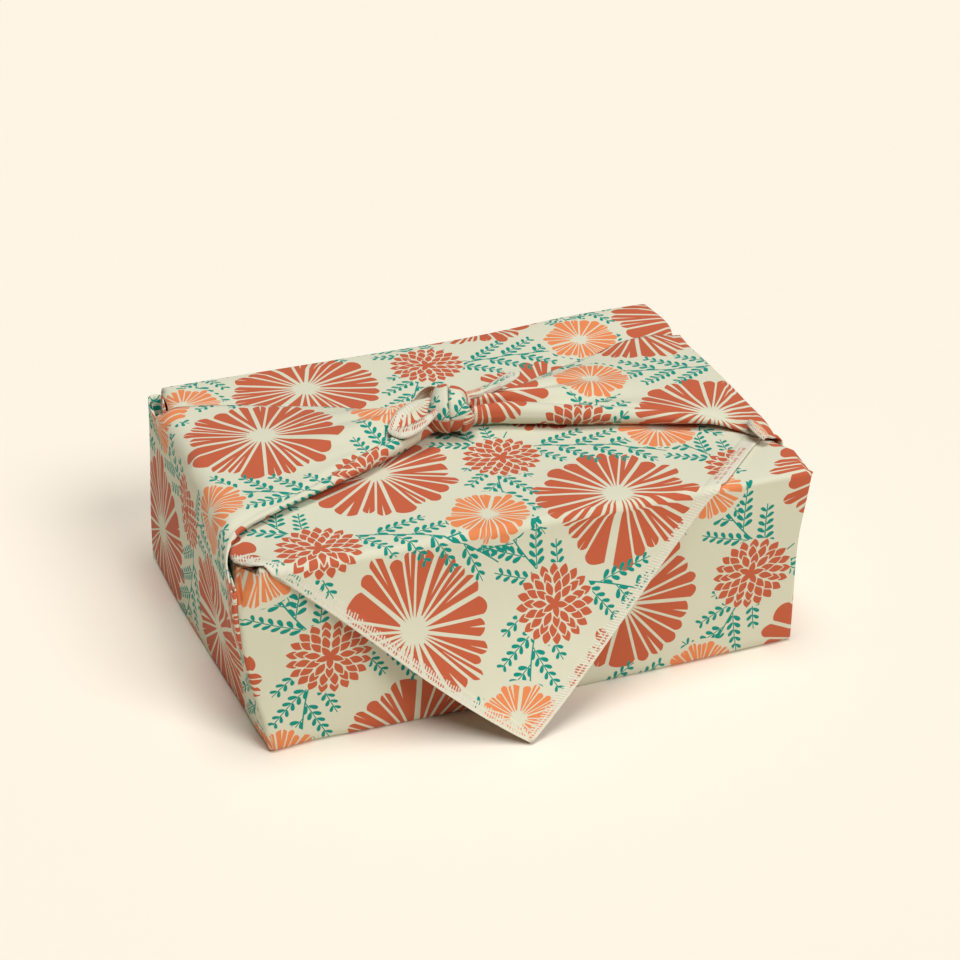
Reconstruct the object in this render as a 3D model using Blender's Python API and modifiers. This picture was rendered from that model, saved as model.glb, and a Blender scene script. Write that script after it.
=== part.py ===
"""A square furoshiki cloth tied round a closed carton.

The cloth is one sheet. It lies under the carton and rises on all four sides. The front corner goes
over the top first, the back corner goes over it and hangs down the front, and the two side corners
are drawn up over both and tied in the middle. At each upright edge the spare cloth makes a pleat.
Metres, +Z up, the front is -Y, and the origin is on the floor under the middle of the carton.
"""

import math

import bmesh
import bpy
from mathutils import Vector

# ---- driving dimensions ------------------------------------------------------------------------
CLOTH_SIDE = 0.700  # the square, hem to hem
PARCEL_LENGTH = 0.280  # along X, outside the cloth
PARCEL_DEPTH = 0.193  # along Y
PARCEL_HEIGHT = 0.099  # up to the cloth on the flat top
CLOTH = 0.0012  # thickness of the sheet
LAYER = 0.0018  # from the middle of one layer to the middle of the next
FOLD_RADIUS = 0.0025  # where the cloth turns an edge of the carton
CARTON_GAP = 0.0008  # from the carton's faces to the cloth
CARTON_EASE = 0.005  # rounding of the carton's edges, which keeps 2 mm clear of the cloth's folds
FLAP_CENTRE_X = -0.016  # the cloth lies this far off the middle
HANG = 0.110  # length of the back corner below the front edge
FLARE = 0.037  # how far its tip stands out from the front wall
DRAW_IN = 0.0060  # the left end leans in this far at its lower front corner
FRONT_BULGE = 0.0030  # slack of the front wall near the floor
PLEAT_SLOPE = 0.85  # depth of a corner pleat for each unit of height
PLEAT_AT_FLOOR = 0.006
PLEAT_TOP = 0.088  # top edge of a pleat's inner folds
PLEAT_LIP = 0.0015  # a pleat's outer fold stands this far behind the wall
PLEAT_GAPE = 0.0040  # the front left pleat stands open this far at its top
GAPE_REACH = 0.018
TUCK_DEPTH = 0.070  # how far the front corner is tucked down behind the carton
FREED = 0.008  # past its pleats, the front corner's sides draw in over this length
HANG_BEND = math.radians(56)  # the hanging corner's height falls off along this much of a sine
HANG_LIFT_OUT = 1.35  # power of its flare: above 1 it leaves the wall late

# ---- worked-out sizes ----------------------------------------------------------------------------
X_OUT = PARCEL_LENGTH / 2 - CLOTH / 2  # outer, middle and inner layer at each end
X_IN = X_OUT - 2 * LAYER
Y_WALL = PARCEL_DEPTH / 2 - CLOTH / 2
Z_FLOOR = CLOTH / 2
Z_BACK_FLAP = PARCEL_HEIGHT - CLOTH / 2
Z_FRONT_FLAP = Z_BACK_FLAP - LAYER
CHAMFER = 0.0015  # turn from the floor to a wall
TURN = 0.3 * FOLD_RADIUS  # where a turn of FOLD_RADIUS is halfway round
WALL_ROWS = (Z_FLOOR + CHAMFER, 0.010, 0.025, 0.041, 0.057, 0.073, PLEAT_TOP)
INNER_SHARES = (0.0, 0.2, 0.45, 0.72, 1.0)  # columns across a pleat's inner run
MIDDLE_SHARES = (1.0, 0.72, 0.45, 0.2)
END_MARGIN = 0.010  # from the front or back wall to the first column of an end
END_COLUMNS = 10
WALL_COLUMNS = 12
FRONT_FLAP_ROWS = (0.030, 0.055, 0.075)  # places in Y behind its pleats
HEM_STEPS = (0.0, 0.0025, 0.0050)  # rows of the back flap where a hem leaves an end's edge
HANG_ROWS = (FOLD_RADIUS + LAYER, 0.014, 0.026, 0.042, 0.058, 0.074, 0.090, 0.101, HANG - 0.0015)

# One row for each place along a tie, from the end of the parcel to the knot. lift is the height of
# its crown over the flat top, and roll is the radius of its rolled front edge.
TIE_COLUMNS = ("x", "front", "rear", "lift", "roll")
LEFT_TIE = (
    (-0.1333, -0.0675, 0.066, 0.0010, 0.0016),
    (-0.1240, -0.0600, 0.063, 0.0016, 0.0017),
    (-0.1050, -0.0500, 0.057, 0.0028, 0.0019),
    (-0.0850, -0.0425, 0.049, 0.0040, 0.0028),
    (-0.0640, -0.0330, 0.040, 0.0060, 0.0042),
    (-0.0440, -0.0220, 0.030, 0.0090, 0.0050),
    (-0.0300, -0.0150, 0.020, 0.0110, 0.0054),
    (-0.0160, -0.0120, 0.010, 0.0110, 0.0054),
)
RIGHT_TIE = (
    (0.1333, -0.0660, 0.072, 0.0010, 0.0016),
    (0.1230, -0.0520, 0.064, 0.0016, 0.0018),
    (0.1050, -0.0425, 0.055, 0.0028, 0.0026),
    (0.0840, -0.0345, 0.046, 0.0040, 0.0036),
    (0.0620, -0.0265, 0.037, 0.0060, 0.0044),
    (0.0400, -0.0190, 0.028, 0.0080, 0.0050),
    (0.0220, -0.0140, 0.019, 0.0100, 0.0054),
    (0.0040, -0.0120, 0.012, 0.0110, 0.0056),
)

KNOT_AT = Vector((-0.0097, -0.0033, PARCEL_HEIGHT + 0.0130))


def lerp(a, b, t):
    return a + (b - a) * t


def ease(t):
    t = min(1.0, max(0.0, t))
    return t * t * (3 - 2 * t)


class Sheet:
    """A surface made of patches that share the points where they meet."""

    def __init__(self):
        self.mesh = bmesh.new()
        self.points = {}

    def point(self, place):
        key = tuple(round(value, 6) for value in place)
        if key not in self.points:
            self.points[key] = self.mesh.verts.new(place)
        return self.points[key]

    def face(self, places):
        corners = []
        for place in places:
            corner = self.point(place)
            if corner not in corners:
                corners.append(corner)
        if len(corners) > 2:
            self.mesh.faces.new(corners)

    def patch(self, rows):
        for low, high in zip(rows, rows[1:]):
            for i in range(len(low) - 1):
                self.face((low[i], low[i + 1], high[i + 1], high[i]))

    def to_object(self, name):
        bmesh.ops.recalc_face_normals(self.mesh, faces=self.mesh.faces)
        data = bpy.data.meshes.new(name)
        self.mesh.to_mesh(data)
        self.mesh.free()
        return bpy.data.objects.new(name, data)


# ---- walls and pleats ------------------------------------------------------------------------------
def end_x(side, y, z, layer):
    """Distance from the middle to one layer of an end, 0 for the outer one and 2 for the inner."""
    lean = 0.0
    if side < 0:
        lean = DRAW_IN * max(0.0, 1 - z / PLEAT_TOP) * (0.5 - y / PARCEL_DEPTH)
    return X_OUT - layer * LAYER - max(0.0, lean)


def wall_end(side, face, z):
    """Where the front or back wall stops and the corner begins."""
    return side * (end_x(side, face * Y_WALL, z, 2) - FOLD_RADIUS)


def wall_row(face, z):
    """One level of the front wall (face -1) or the back wall (face 1), from left to right."""
    left, right = wall_end(-1, face, z), wall_end(1, face, z)
    row = []
    for i in range(WALL_COLUMNS + 1):
        share = i / WALL_COLUMNS
        slack = FRONT_BULGE * math.sin(math.pi * share) * (1 - z / PARCEL_HEIGHT) if face < 0 else 0.0
        row.append(Vector((lerp(left, right, share), face * (Y_WALL + slack), z)))
    return row


def pleat_depth(z):
    return PLEAT_AT_FLOOR + PLEAT_SLOPE * z


def gape(side, y, z):
    """How far the outer folds of the front left pleat stand out from the end."""
    if side > 0:
        return 0.0
    return PLEAT_GAPE * ease(z / PLEAT_TOP) * ease(1 - (Y_WALL + y) / GAPE_REACH)


def pleat_row(side, face, z):
    """One level of a corner: round the carton, back into the pleat, out again and on to the end."""
    depth, edge, half = pleat_depth(z), PLEAT_LIP, LAYER / 2
    steps = [(-FOLD_RADIUS, 0.0), (-TURN, TURN)]
    steps += [(0.0, lerp(FOLD_RADIUS, depth, share)) for share in INNER_SHARES]
    steps.append((half, depth + half))
    steps += [(LAYER, lerp(edge + half, depth, share)) for share in MIDDLE_SHARES]
    steps += [(LAYER, edge + half), (1.5 * LAYER, edge), (2 * LAYER, edge + half), (2 * LAYER, END_MARGIN)]
    row = []
    for i, (out, inward) in enumerate(steps):
        y = face * (Y_WALL - inward)
        opening = gape(side, y, z) if i > INNER_END else 0.0
        row.append(Vector((side * (end_x(side, y, z, 2) + out + opening), y, z)))
    return row


INNER_END = 2 + len(INNER_SHARES)  # points of a pleat row up to the end of its inner run


def end_ys():
    reach = Y_WALL - END_MARGIN
    return [lerp(-reach, reach, i / END_COLUMNS) for i in range(END_COLUMNS + 1)]


def end_row(side, z):
    return [Vector((side * (end_x(side, y, z, 0) + gape(side, y, z)), y, z)) for y in end_ys()]


def add_walls(sheet):
    for face in (-1, 1):
        sheet.patch([wall_row(face, z) for z in WALL_ROWS])
        for side in (-1, 1):
            sheet.patch([pleat_row(side, face, z) for z in WALL_ROWS])
    for side in (-1, 1):
        sheet.patch([end_row(side, z) for z in WALL_ROWS])


def add_floor(sheet):
    """The part under the carton, turned up to the lowest level of the walls."""
    low = WALL_ROWS[0]
    margins = {}
    for face in (-1, 1):
        wall = wall_row(face, low)
        margins[face] = [Vector((p.x, p.y - face * CHAMFER, Z_FLOOR)) for p in wall]
        sheet.patch([margins[face], wall])
    middle = []
    for y in end_ys():
        row = []
        for front, back in zip(margins[-1], margins[1]):
            share = (y - front.y) / (back.y - front.y)
            row.append(Vector((lerp(front.x, back.x, share), y, Z_FLOOR)))
        middle.append(row)
    sheet.patch([margins[-1]] + middle + [margins[1]])
    for side in (-1, 1):
        wall = end_row(side, low)
        turn = [Vector((p.x - side * CHAMFER, p.y, Z_FLOOR)) for p in wall]
        column = 0 if side < 0 else -1
        sheet.patch([[row[column] for row in middle], turn, wall])
        for face in (-1, 1):
            last = 0 if face < 0 else -1
            corner = pleat_row(side, face, low)
            sheet.face([margins[face][column]] + corner + [turn[last], middle[last][column]])


# ---- the two flaps over the top --------------------------------------------------------------------
def over_edge(u, reach, z):
    """Rolls a point of a flap over an end of the parcel: u runs along it, and turns down at reach."""
    side = -1 if u < 0 else 1
    past = abs(u) - (reach - FOLD_RADIUS)
    if past <= 0:
        return u, z
    t = min(1.0, past / (2 * FOLD_RADIUS))
    x = reach - FOLD_RADIUS * (1 - t) ** 2
    return side * x, z - FOLD_RADIUS * t * t


def add_corner_cap(sheet, side, face, z, peak):
    """Closes the corner where a wall, a flap and the inner layer of an end meet."""
    corner = pleat_row(side, face, z - FOLD_RADIUS)
    over = Vector((corner[0].x, face * (Y_WALL - TURN), z - TURN))
    top = Vector((corner[0].x, face * (Y_WALL - FOLD_RADIUS), z))
    x, drop = over_edge(side * X_IN, X_IN, z)
    roll = Vector((x, face * (Y_WALL - FOLD_RADIUS), drop))
    middle = Vector((side * (X_IN - TURN + peak), face * (Y_WALL - TURN + peak), z - TURN + peak / 3))
    ring = [corner[0], over, top, roll, corner[2], corner[1]]
    for i, place in enumerate(ring):
        sheet.face((place, ring[(i + 1) % len(ring)], middle))


def flap_row(y, z, us, reach):
    row = []
    for u in us:
        x, height = over_edge(u, reach, z)
        row.append(Vector((x, y, height)))
    return row


def add_front_flap(sheet):
    """From the front wall over the carton, with its tip tucked down behind it."""
    z, limit = Z_FRONT_FLAP, X_IN + FOLD_RADIUS
    level = z - FOLD_RADIUS
    wall = wall_row(-1, level)
    xs = [p.x for p in wall]
    over = [Vector((x, -Y_WALL + TURN, z - TURN)) for x in xs]
    sheet.patch([wall_row(-1, PLEAT_TOP), wall, over])
    us = [-limit, -X_IN] + xs + [X_IN, limit]
    room = CLOTH_SIDE / math.sqrt(2) - PARCEL_DEPTH / 2 - PARCEL_HEIGHT
    joined = -Y_WALL + pleat_depth(level)
    back = Y_WALL - LAYER
    ys = [lerp(-Y_WALL + FOLD_RADIUS, joined, share) for share in INNER_SHARES]
    ys += [joined + FREED / 2, joined + FREED, *FRONT_FLAP_ROWS, back - FOLD_RADIUS]
    rows = []
    for y in ys:
        freed = lerp(limit, X_IN - LAYER, ease((y - joined) / FREED))
        half = min(freed, room - (y + PARCEL_DEPTH / 2))
        rows.append(flap_row(y, z, [u * half / limit for u in us], X_IN))
    for fallen in (TURN, FOLD_RADIUS, TUCK_DEPTH / 2, TUCK_DEPTH):
        share = (room - PARCEL_DEPTH - fallen) / limit
        y = back - TURN if fallen == TURN else back
        rows.append([Vector((u * share, y, z - fallen)) for u in us])
    sheet.patch([over, rows[0][2:-2]])
    sheet.patch(rows)
    for side in (-1, 1):
        add_pleat_top(sheet, side, -1, level)
        add_corner_cap(sheet, side, -1, z, 0.0010 if side > 0 else 0.0)


def add_pleat_top(sheet, side, face, level):
    """The inner run of a pleat goes on up to the flap, above the pleat's folds."""
    low = pleat_row(side, face, PLEAT_TOP)[:INNER_END]
    high = pleat_row(side, face, level)[:INNER_END]
    sheet.patch([low, high])


def hang_profile(fallen):
    """Height and distance out from the wall, at a distance down the hanging corner."""
    start = FOLD_RADIUS + LAYER
    share = (fallen - start) / (HANG - start)
    drop = (Z_BACK_FLAP - start - CLOTH) * math.sin(share * HANG_BEND) / math.sin(HANG_BEND)
    return Z_BACK_FLAP - start - drop, FLARE * share**HANG_LIFT_OUT


def add_back_flap(sheet):
    """From the back wall over the top and down the front, ending in the cloth's square corner."""
    z, limit = Z_BACK_FLAP, X_IN + FOLD_RADIUS
    level = z - FOLD_RADIUS
    wall = wall_row(1, level)
    xs = [p.x for p in wall]
    over = [Vector((x, Y_WALL - TURN, z - TURN)) for x in xs]
    sheet.patch([wall_row(1, PLEAT_TOP), wall, over])
    us = [-limit, -X_IN] + xs + [X_IN, limit]
    joined = Y_WALL - pleat_depth(level)
    front = -(Y_WALL + LAYER)
    radius = FOLD_RADIUS + LAYER
    left_hem_y = front + limit - (HANG - FLAP_CENTRE_X)
    right_hem_y = front + limit - (HANG + FLAP_CENTRE_X)
    ys = [lerp(Y_WALL - FOLD_RADIUS, joined, share) for share in INNER_SHARES]
    ys += [0.0, -joined]
    for hem_y in (right_hem_y, left_hem_y):
        ys += [hem_y - step for step in HEM_STEPS]
    ys.append(front + radius)

    def squeezed(room):
        """The flap's columns, drawn in between its two hems."""
        low = max(-limit, FLAP_CENTRE_X - room)
        high = min(limit, FLAP_CENTRE_X + room)
        found = []
        for u in us:
            if u < FLAP_CENTRE_X:
                found.append(lerp(FLAP_CENTRE_X, low, (FLAP_CENTRE_X - u) / (FLAP_CENTRE_X + limit)))
            else:
                found.append(lerp(FLAP_CENTRE_X, high, (u - FLAP_CENTRE_X) / (limit - FLAP_CENTRE_X)))
        return found

    rows = []
    for y in ys:
        shift = LAYER * ease((joined - y) / (2 * joined))
        columns = squeezed(HANG + y - front)
        spread = [u + math.copysign(shift * ease(abs(u) / X_IN * 8 - 7), u) for u in columns]
        rows.append(flap_row(y, z, spread, X_IN + shift))
    bend = 0.3 * radius
    rows.append([Vector((u, front + bend, z - bend)) for u in squeezed(HANG - radius / 2)])
    for step in HANG_ROWS:
        height, out = hang_profile(step)
        rows.append([Vector((u, front - out, height)) for u in squeezed(HANG - step)])
    sheet.patch([over, rows[0][2:-2]])
    sheet.patch(rows)
    for side in (-1, 1):
        add_pleat_top(sheet, side, 1, level)
        add_corner_cap(sheet, side, 1, z, 0.0)


# ---- the two ties ------------------------------------------------------------------------------------
# Points of the rolled front edge: reach inward in roll radii, its most as a share of the tie's width,
# and height in roll radii.
ROLL_STEPS = ((0.0, 0.0, 1.0), (0.4, 0.10, 1.75), (1.3, 0.25, 2.0), (2.4, 0.38, 1.8), (3.8, 0.5, 1.3))
ROLL_END = ROLL_STEPS[-1][2]  # height in roll radii where the roll goes over into the crown
ROLL_FADE = 1.6  # the roll's height is gone after 1 / 1.6 of the crown
REAR_FOLD = 0.0012  # from the crown to a tie's rear edge
RETURN_DEPTH = 0.018  # how far a tie's two edges are turned under
RETURN_SHARE = 0.36  # and the most of its width that each may take
TIE_TURN = X_OUT - abs(LEFT_TIE[0][0])  # radius of a tie's turn over the end's top edge
TIE_TURN_STEPS = 4
TIE_SLANT = 0.35  # share of the way to the tie's own edges where the turn starts


def tie_section(place):
    """A tie cut across: under return, rolled front edge, crown, rear fold and rear return."""
    width = place["rear"] - place["front"]
    base = Z_BACK_FLAP + LAYER
    roll, lift = place["roll"], place["lift"]
    points = []
    for out, share, height in ROLL_STEPS:
        inward = min(out * roll, share * width)
        points.append((place["front"] + inward, base + roll * height))
    start = points[-1][0]
    spaces = END_COLUMNS + 3 - (len(ROLL_STEPS) - 1)
    for i in range(1, spaces + 1):
        share = i / spaces
        y = lerp(start, place["rear"] - REAR_FOLD, share)
        across = (y - place["front"]) / width
        crown = lift * math.sin(math.pi * min(1.0, across)) + LAYER
        points.append((y, base + max(crown, roll * ROLL_END * (1 - ease(share * ROLL_FADE)) + LAYER)))
    back = min(RETURN_DEPTH, RETURN_SHARE * width)
    front_return = [
        (place["front"] + back, base),
        (place["front"] + max(1.2 * roll, 0.5 * back), base),
        (place["front"] + 0.35 * roll, base + 0.3 * roll),
    ]
    rear_return = [
        (place["rear"], base + LAYER / 2),
        (place["rear"] - REAR_FOLD, base),
        (place["rear"] - back, base),
    ]
    return [Vector((place["x"], y, z)) for y, z in front_return + points + rear_return]


def add_tie(sheet, side, table):
    """An end of the parcel goes on over the edge and narrows to the knot."""
    places = [dict(zip(TIE_COLUMNS, row)) for row in table]
    sections = [tie_section(place) for place in places]
    joined = sections[0][4:-3]
    outer = {face: pleat_row(side, face, PLEAT_TOP)[-2:-1] for face in (-1, 1)}
    fold = outer[-1] + end_row(side, PLEAT_TOP) + outer[1]
    rows = [fold]
    for i in range(TIE_TURN_STEPS):
        share = i / TIE_TURN_STEPS
        angle = share * math.pi / 2
        x = X_OUT - TIE_TURN * (1 - math.cos(angle))
        row = []
        for p, q in zip(fold, joined):
            z = lerp(q.z - TIE_TURN, q.z, math.sin(angle))
            row.append(Vector((side * x, lerp(p.y, q.y, lerp(TIE_SLANT, 1.0, share)), z)))
        rows.append(row)
    rows.append(joined)
    sheet.patch(rows)
    sheet.patch(sections)


# ---- the knot ------------------------------------------------------------------------------------------
KNOT_CORE = (0.0105, 0.0140, 0.0098)  # radii
# The two turns: place along X, lean, radii in Y and Z, and half width and half thickness of the band.
TURN_COLUMNS = ("x", "lean", "deep", "high", "half_width", "half_thickness")
TURN_OF_LEFT = dict(zip(TURN_COLUMNS, (-0.0058, 0.10, 0.0142, 0.0092, 0.0062, 0.0028)))
TURN_OF_RIGHT = dict(zip(TURN_COLUMNS, (0.0058, -0.06, 0.0146, 0.0090, 0.0062, 0.0030)))
TURN_AROUND = 28  # faces round a turn, and round its band
TURN_ACROSS = 10


def add_core(name):
    mesh = bmesh.new()
    bmesh.ops.create_uvsphere(mesh, u_segments=20, v_segments=12, radius=1.0)
    bmesh.ops.scale(mesh, vec=KNOT_CORE, verts=mesh.verts)
    bmesh.ops.translate(mesh, vec=KNOT_AT, verts=mesh.verts)
    data = bpy.data.meshes.new(name)
    mesh.to_mesh(data)
    mesh.free()
    return bpy.data.objects.new(name, data)


def add_turn(name, turn):
    """One turn of the knot: a flat band that goes round the two ties."""
    mesh = bmesh.new()
    rings = []
    for i in range(TURN_AROUND):
        a = 2 * math.pi * i / TURN_AROUND
        ring = []
        for j in range(TURN_ACROSS):
            b = 2 * math.pi * j / TURN_ACROSS
            grow = 1 + turn["half_thickness"] * math.cos(b) / turn["high"]
            y = turn["deep"] * grow * math.cos(a)
            z = turn["high"] * grow * math.sin(a)
            x = turn["x"] + turn["lean"] * y + turn["half_width"] * math.sin(b)
            ring.append(mesh.verts.new(KNOT_AT + Vector((x, y, z))))
        rings.append(ring)
    for i in range(TURN_AROUND):
        here, there = rings[i], rings[(i + 1) % TURN_AROUND]
        for j in range(TURN_ACROSS):
            after = (j + 1) % TURN_ACROSS
            mesh.faces.new((here[j], there[j], there[after], here[after]))
    bmesh.ops.recalc_face_normals(mesh, faces=mesh.faces)
    data = bpy.data.meshes.new(name)
    mesh.to_mesh(data)
    mesh.free()
    return bpy.data.objects.new(name, data)


# A tail's middle line, one row for each place from the knot to the tip.
TAIL_COLUMNS = ("x", "y", "z", "half", "tilt")
TAIL_CURL = 0.25  # how far its edges curl down, in half widths
LEFT_TAIL = (
    (-0.0160, -0.0050, 0.1140, 0.0060, 0.20),
    (-0.0220, -0.0065, 0.1170, 0.0085, 0.35),
    (-0.0280, -0.0085, 0.1175, 0.0100, 0.45),
    (-0.0335, -0.0105, 0.1160, 0.0090, 0.50),
    (-0.0385, -0.0130, 0.1135, 0.0055, 0.50),
    (-0.0430, -0.0155, 0.1105, 0.0012, 0.50),
)
RIGHT_TAIL = (
    (-0.0020, 0.0060, 0.1165, 0.0055, 0.10),
    (0.0060, 0.0100, 0.1180, 0.0070, 0.14),
    (0.0150, 0.0155, 0.1170, 0.0080, 0.16),
    (0.0245, 0.0205, 0.1145, 0.0070, 0.16),
    (0.0330, 0.0245, 0.1120, 0.0045, 0.16),
    (0.0400, 0.0270, 0.1100, 0.0012, 0.16),
)


def add_tail(name, table):
    sheet = Sheet()
    places = [dict(zip(TAIL_COLUMNS, row)) for row in table]
    run = Vector((places[-1]["x"] - places[0]["x"], places[-1]["y"] - places[0]["y"], 0.0)).normalized()
    across = Vector((-run.y, run.x, 0.0))
    if across.y < 0:
        across = -across
    rows = []
    for place in places:
        middle = Vector((place["x"], place["y"], place["z"]))
        row = []
        for share in (-1.0, -0.5, 0.0, 0.5, 1.0):
            half = place["half"]
            rise = (place["tilt"] * share - TAIL_CURL * share * share) * half
            row.append(middle + across * share * half + Vector((0.0, 0.0, rise)))
        rows.append(row)
    sheet.patch(rows)
    tail = sheet.to_object(name)
    add_thickness(tail)
    return tail


# ---- assembly --------------------------------------------------------------------------------------------
def add_thickness(thing):
    solidify = thing.modifiers.new("Thickness", "SOLIDIFY")
    solidify.thickness = CLOTH
    solidify.offset = 0.0


def make_material(name, colour, roughness):
    material = bpy.data.materials.new(name)
    material.use_nodes = True
    shader = material.node_tree.nodes["Principled BSDF"]
    shader.inputs["Base Color"].default_value = (*colour, 1.0)
    shader.inputs["Roughness"].default_value = roughness
    shader.inputs["Metallic"].default_value = 0.0
    return material


def make_cloth():
    sheet = Sheet()
    add_floor(sheet)
    add_walls(sheet)
    add_front_flap(sheet)
    add_back_flap(sheet)
    add_tie(sheet, -1, LEFT_TIE)
    add_tie(sheet, 1, RIGHT_TIE)
    cloth = sheet.to_object("furoshiki_cloth")
    add_thickness(cloth)
    return cloth


def make_knot():
    return (
        add_core("knot_core"),
        add_turn("knot_left_turn", TURN_OF_LEFT),
        add_turn("knot_right_turn", TURN_OF_RIGHT),
        add_tail("left_tail", LEFT_TAIL),
        add_tail("right_tail", RIGHT_TAIL),
    )


def make_carton():
    left = -(X_IN - DRAW_IN - CLOTH / 2 - CARTON_GAP)
    right = X_IN - CLOTH / 2 - CARTON_GAP
    front = -(Y_WALL - CLOTH / 2 - CARTON_GAP)
    back = Y_WALL - LAYER - CLOTH / 2 - CARTON_GAP
    low = CLOTH + CARTON_GAP
    high = Z_FRONT_FLAP - CLOTH / 2 - CARTON_GAP
    mesh = bmesh.new()
    bmesh.ops.create_cube(mesh, size=1.0)
    bmesh.ops.scale(mesh, vec=(right - left, back - front, high - low), verts=mesh.verts)
    centre = Vector(((left + right) / 2, (front + back) / 2, (low + high) / 2))
    bmesh.ops.translate(mesh, vec=centre, verts=mesh.verts)
    data = bpy.data.meshes.new("carton")
    mesh.to_mesh(data)
    mesh.free()
    carton = bpy.data.objects.new("carton", data)
    bevel = carton.modifiers.new("Eased edges", "BEVEL")
    bevel.width = CARTON_EASE
    bevel.segments = 3
    return carton


def main():
    for thing in list(bpy.data.objects):
        bpy.data.objects.remove(thing)
    parts = bpy.data.collections.new("furoshiki_wrap")
    helpers = bpy.data.collections.new("knot_pieces")
    for collection in (parts, helpers):
        bpy.context.scene.collection.children.link(collection)
    cloth, carton = make_cloth(), make_carton()
    for thing in (cloth, carton):
        parts.objects.link(thing)
    for thing in make_knot():
        helpers.objects.link(thing)
        thing.hide_render = True
        thing.display_type = "WIRE"
        thing.data.shade_smooth()
        join = cloth.modifiers.new("Join " + thing.name, "BOOLEAN")
        join.operation = "UNION"
        join.solver = "MANIFOLD"
        join.object = thing
    cloth.data.materials.append(make_material("printed_cotton", (0.72, 0.66, 0.50), 0.85))
    carton.data.materials.append(make_material("carton_board", (0.52, 0.37, 0.22), 0.80))
    for thing in (cloth, carton):
        thing.data.shade_smooth()
        thing.data.set_sharp_from_angle(angle=math.radians(40))


main()
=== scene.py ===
# %% [markdown]
# # A parcel wrapped in a furoshiki
# A furoshiki is a square cloth. It goes under a box, two corners are folded over the top, and the other
# two are drawn up and tied. This lesson dresses a plain solid model of such a parcel: it makes a thin
# sheet on the same folds, prints it, overlocks its hem, and lights it. The solid model is loaded first,
# because every size and place below comes from it.

# %% Load the solid model
import math

import bmesh
import bpy
import numpy as np
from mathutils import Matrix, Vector, noise


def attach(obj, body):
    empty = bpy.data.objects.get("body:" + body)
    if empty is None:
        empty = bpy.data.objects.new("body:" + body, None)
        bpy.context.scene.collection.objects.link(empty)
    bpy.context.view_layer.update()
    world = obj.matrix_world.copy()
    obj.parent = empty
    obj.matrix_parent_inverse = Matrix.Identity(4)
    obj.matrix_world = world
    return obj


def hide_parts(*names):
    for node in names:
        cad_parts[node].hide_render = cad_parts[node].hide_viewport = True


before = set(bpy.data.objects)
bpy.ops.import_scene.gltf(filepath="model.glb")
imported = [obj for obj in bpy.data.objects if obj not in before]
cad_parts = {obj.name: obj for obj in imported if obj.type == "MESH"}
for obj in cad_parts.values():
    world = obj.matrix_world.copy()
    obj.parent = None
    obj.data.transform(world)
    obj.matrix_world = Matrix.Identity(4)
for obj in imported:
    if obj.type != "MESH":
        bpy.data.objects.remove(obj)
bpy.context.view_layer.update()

# %% [markdown]
# ## Sizes
# These are the parcel's own measures, in metres. The cloth lies in layers at each end, where the spare
# cloth of every corner is folded into a pleat, so an end has an outer, a middle and an inner layer.

# %% Sizes of the parcel and its cloth
LENGTH = 0.280  # along X, outside the cloth
DEPTH = 0.193  # along Y
HEIGHT = 0.099
CLOTH_SIDE = 0.700  # the square, hem to hem
HALF_DIAGONAL = CLOTH_SIDE / math.sqrt(2)
LAYER = 0.0018  # from the middle of one layer to the middle of the next
CLOTH = 0.0012  # the solid model's cloth
FABRIC = 0.0007  # the dressed cloth
FOLD_RADIUS = 0.0025
X_OUT = LENGTH / 2 - CLOTH / 2
X_IN = X_OUT - 2 * LAYER
Y_WALL = DEPTH / 2 - CLOTH / 2
Z_FLOOR = CLOTH / 2
Z_BACK_FLAP = HEIGHT - CLOTH / 2
Z_FRONT_FLAP = Z_BACK_FLAP - LAYER
CLOTH_CENTRE = (-0.016, 0.0035)  # the cloth's own middle lies this far off the parcel's
GRID = 0.004  # spacing of the sheet's points
FLAT_MAP = "Flat cloth"  # the UV map
print("the cloth's diagonal is", round(2 * HALF_DIAGONAL, 3), "m")


# %% [markdown]
# ## A sheet that remembers where it was flat
# Printed cloth shows how it was folded, because the print bends with it. So each point of the sheet is a
# row of six numbers: its place, its flat coordinate on the uncut square, and how free it is to move.
# The flat coordinate later becomes the UV map, in metres, and the print needs no seams or unwrapping.
# Patches that meet share their points, which keeps the whole cloth one surface.

# %% A sheet of patches
class Sheet:
    """A surface of patches that share the points where they meet."""

    def __init__(self):
        self.spots = []
        self.faces = []
        self.index = {}

    def point(self, spot):
        key = tuple(round(float(value), 6) for value in spot[:3])
        if key not in self.index:
            self.index[key] = len(self.spots)
            self.spots.append(spot)
        return self.index[key]

    def face(self, spots):
        corners = []
        for spot in spots:
            corner = self.point(spot)
            if corner not in corners:
                corners.append(corner)
        if len(corners) > 2:
            self.faces.append(corners)

    def patch(self, rows):
        for low, high in zip(rows, rows[1:]):
            for i in range(len(low) - 1):
                self.face((low[i], low[i + 1], high[i + 1], high[i]))


def spot(x, y, z, p, q, free=0.0):
    return np.array((x, y, z, p, q, free))


def lerp(a, b, t):
    return a + (b - a) * t


def ease(t):
    t = np.clip(t, 0.0, 1.0)
    return t * t * (3 - 2 * t)


def ramp(value, start, width):
    """0 before start, 1 a width after it, and smooth between. A negative width ramps the other way."""
    return ease((value - start) / width)


def spread(low, high, step=GRID):
    count = max(1, round(abs(high - low) / step))
    return [lerp(low, high, i / count) for i in range(count + 1)]


print("a metre of cloth takes", len(spread(0.0, 1.0)) - 1, "steps at the sheet's usual spacing")

# %% [markdown]
# ## Walls, ends and pleats
# The walls are plain rows of points. At an upright edge the row turns the corner, runs back into the
# pleat, comes out again and goes on as the outer layer of the end. A cloth solver could fold a flat
# sheet instead, but its result is hard to steer. Rows of points put every fold where it belongs.

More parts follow.
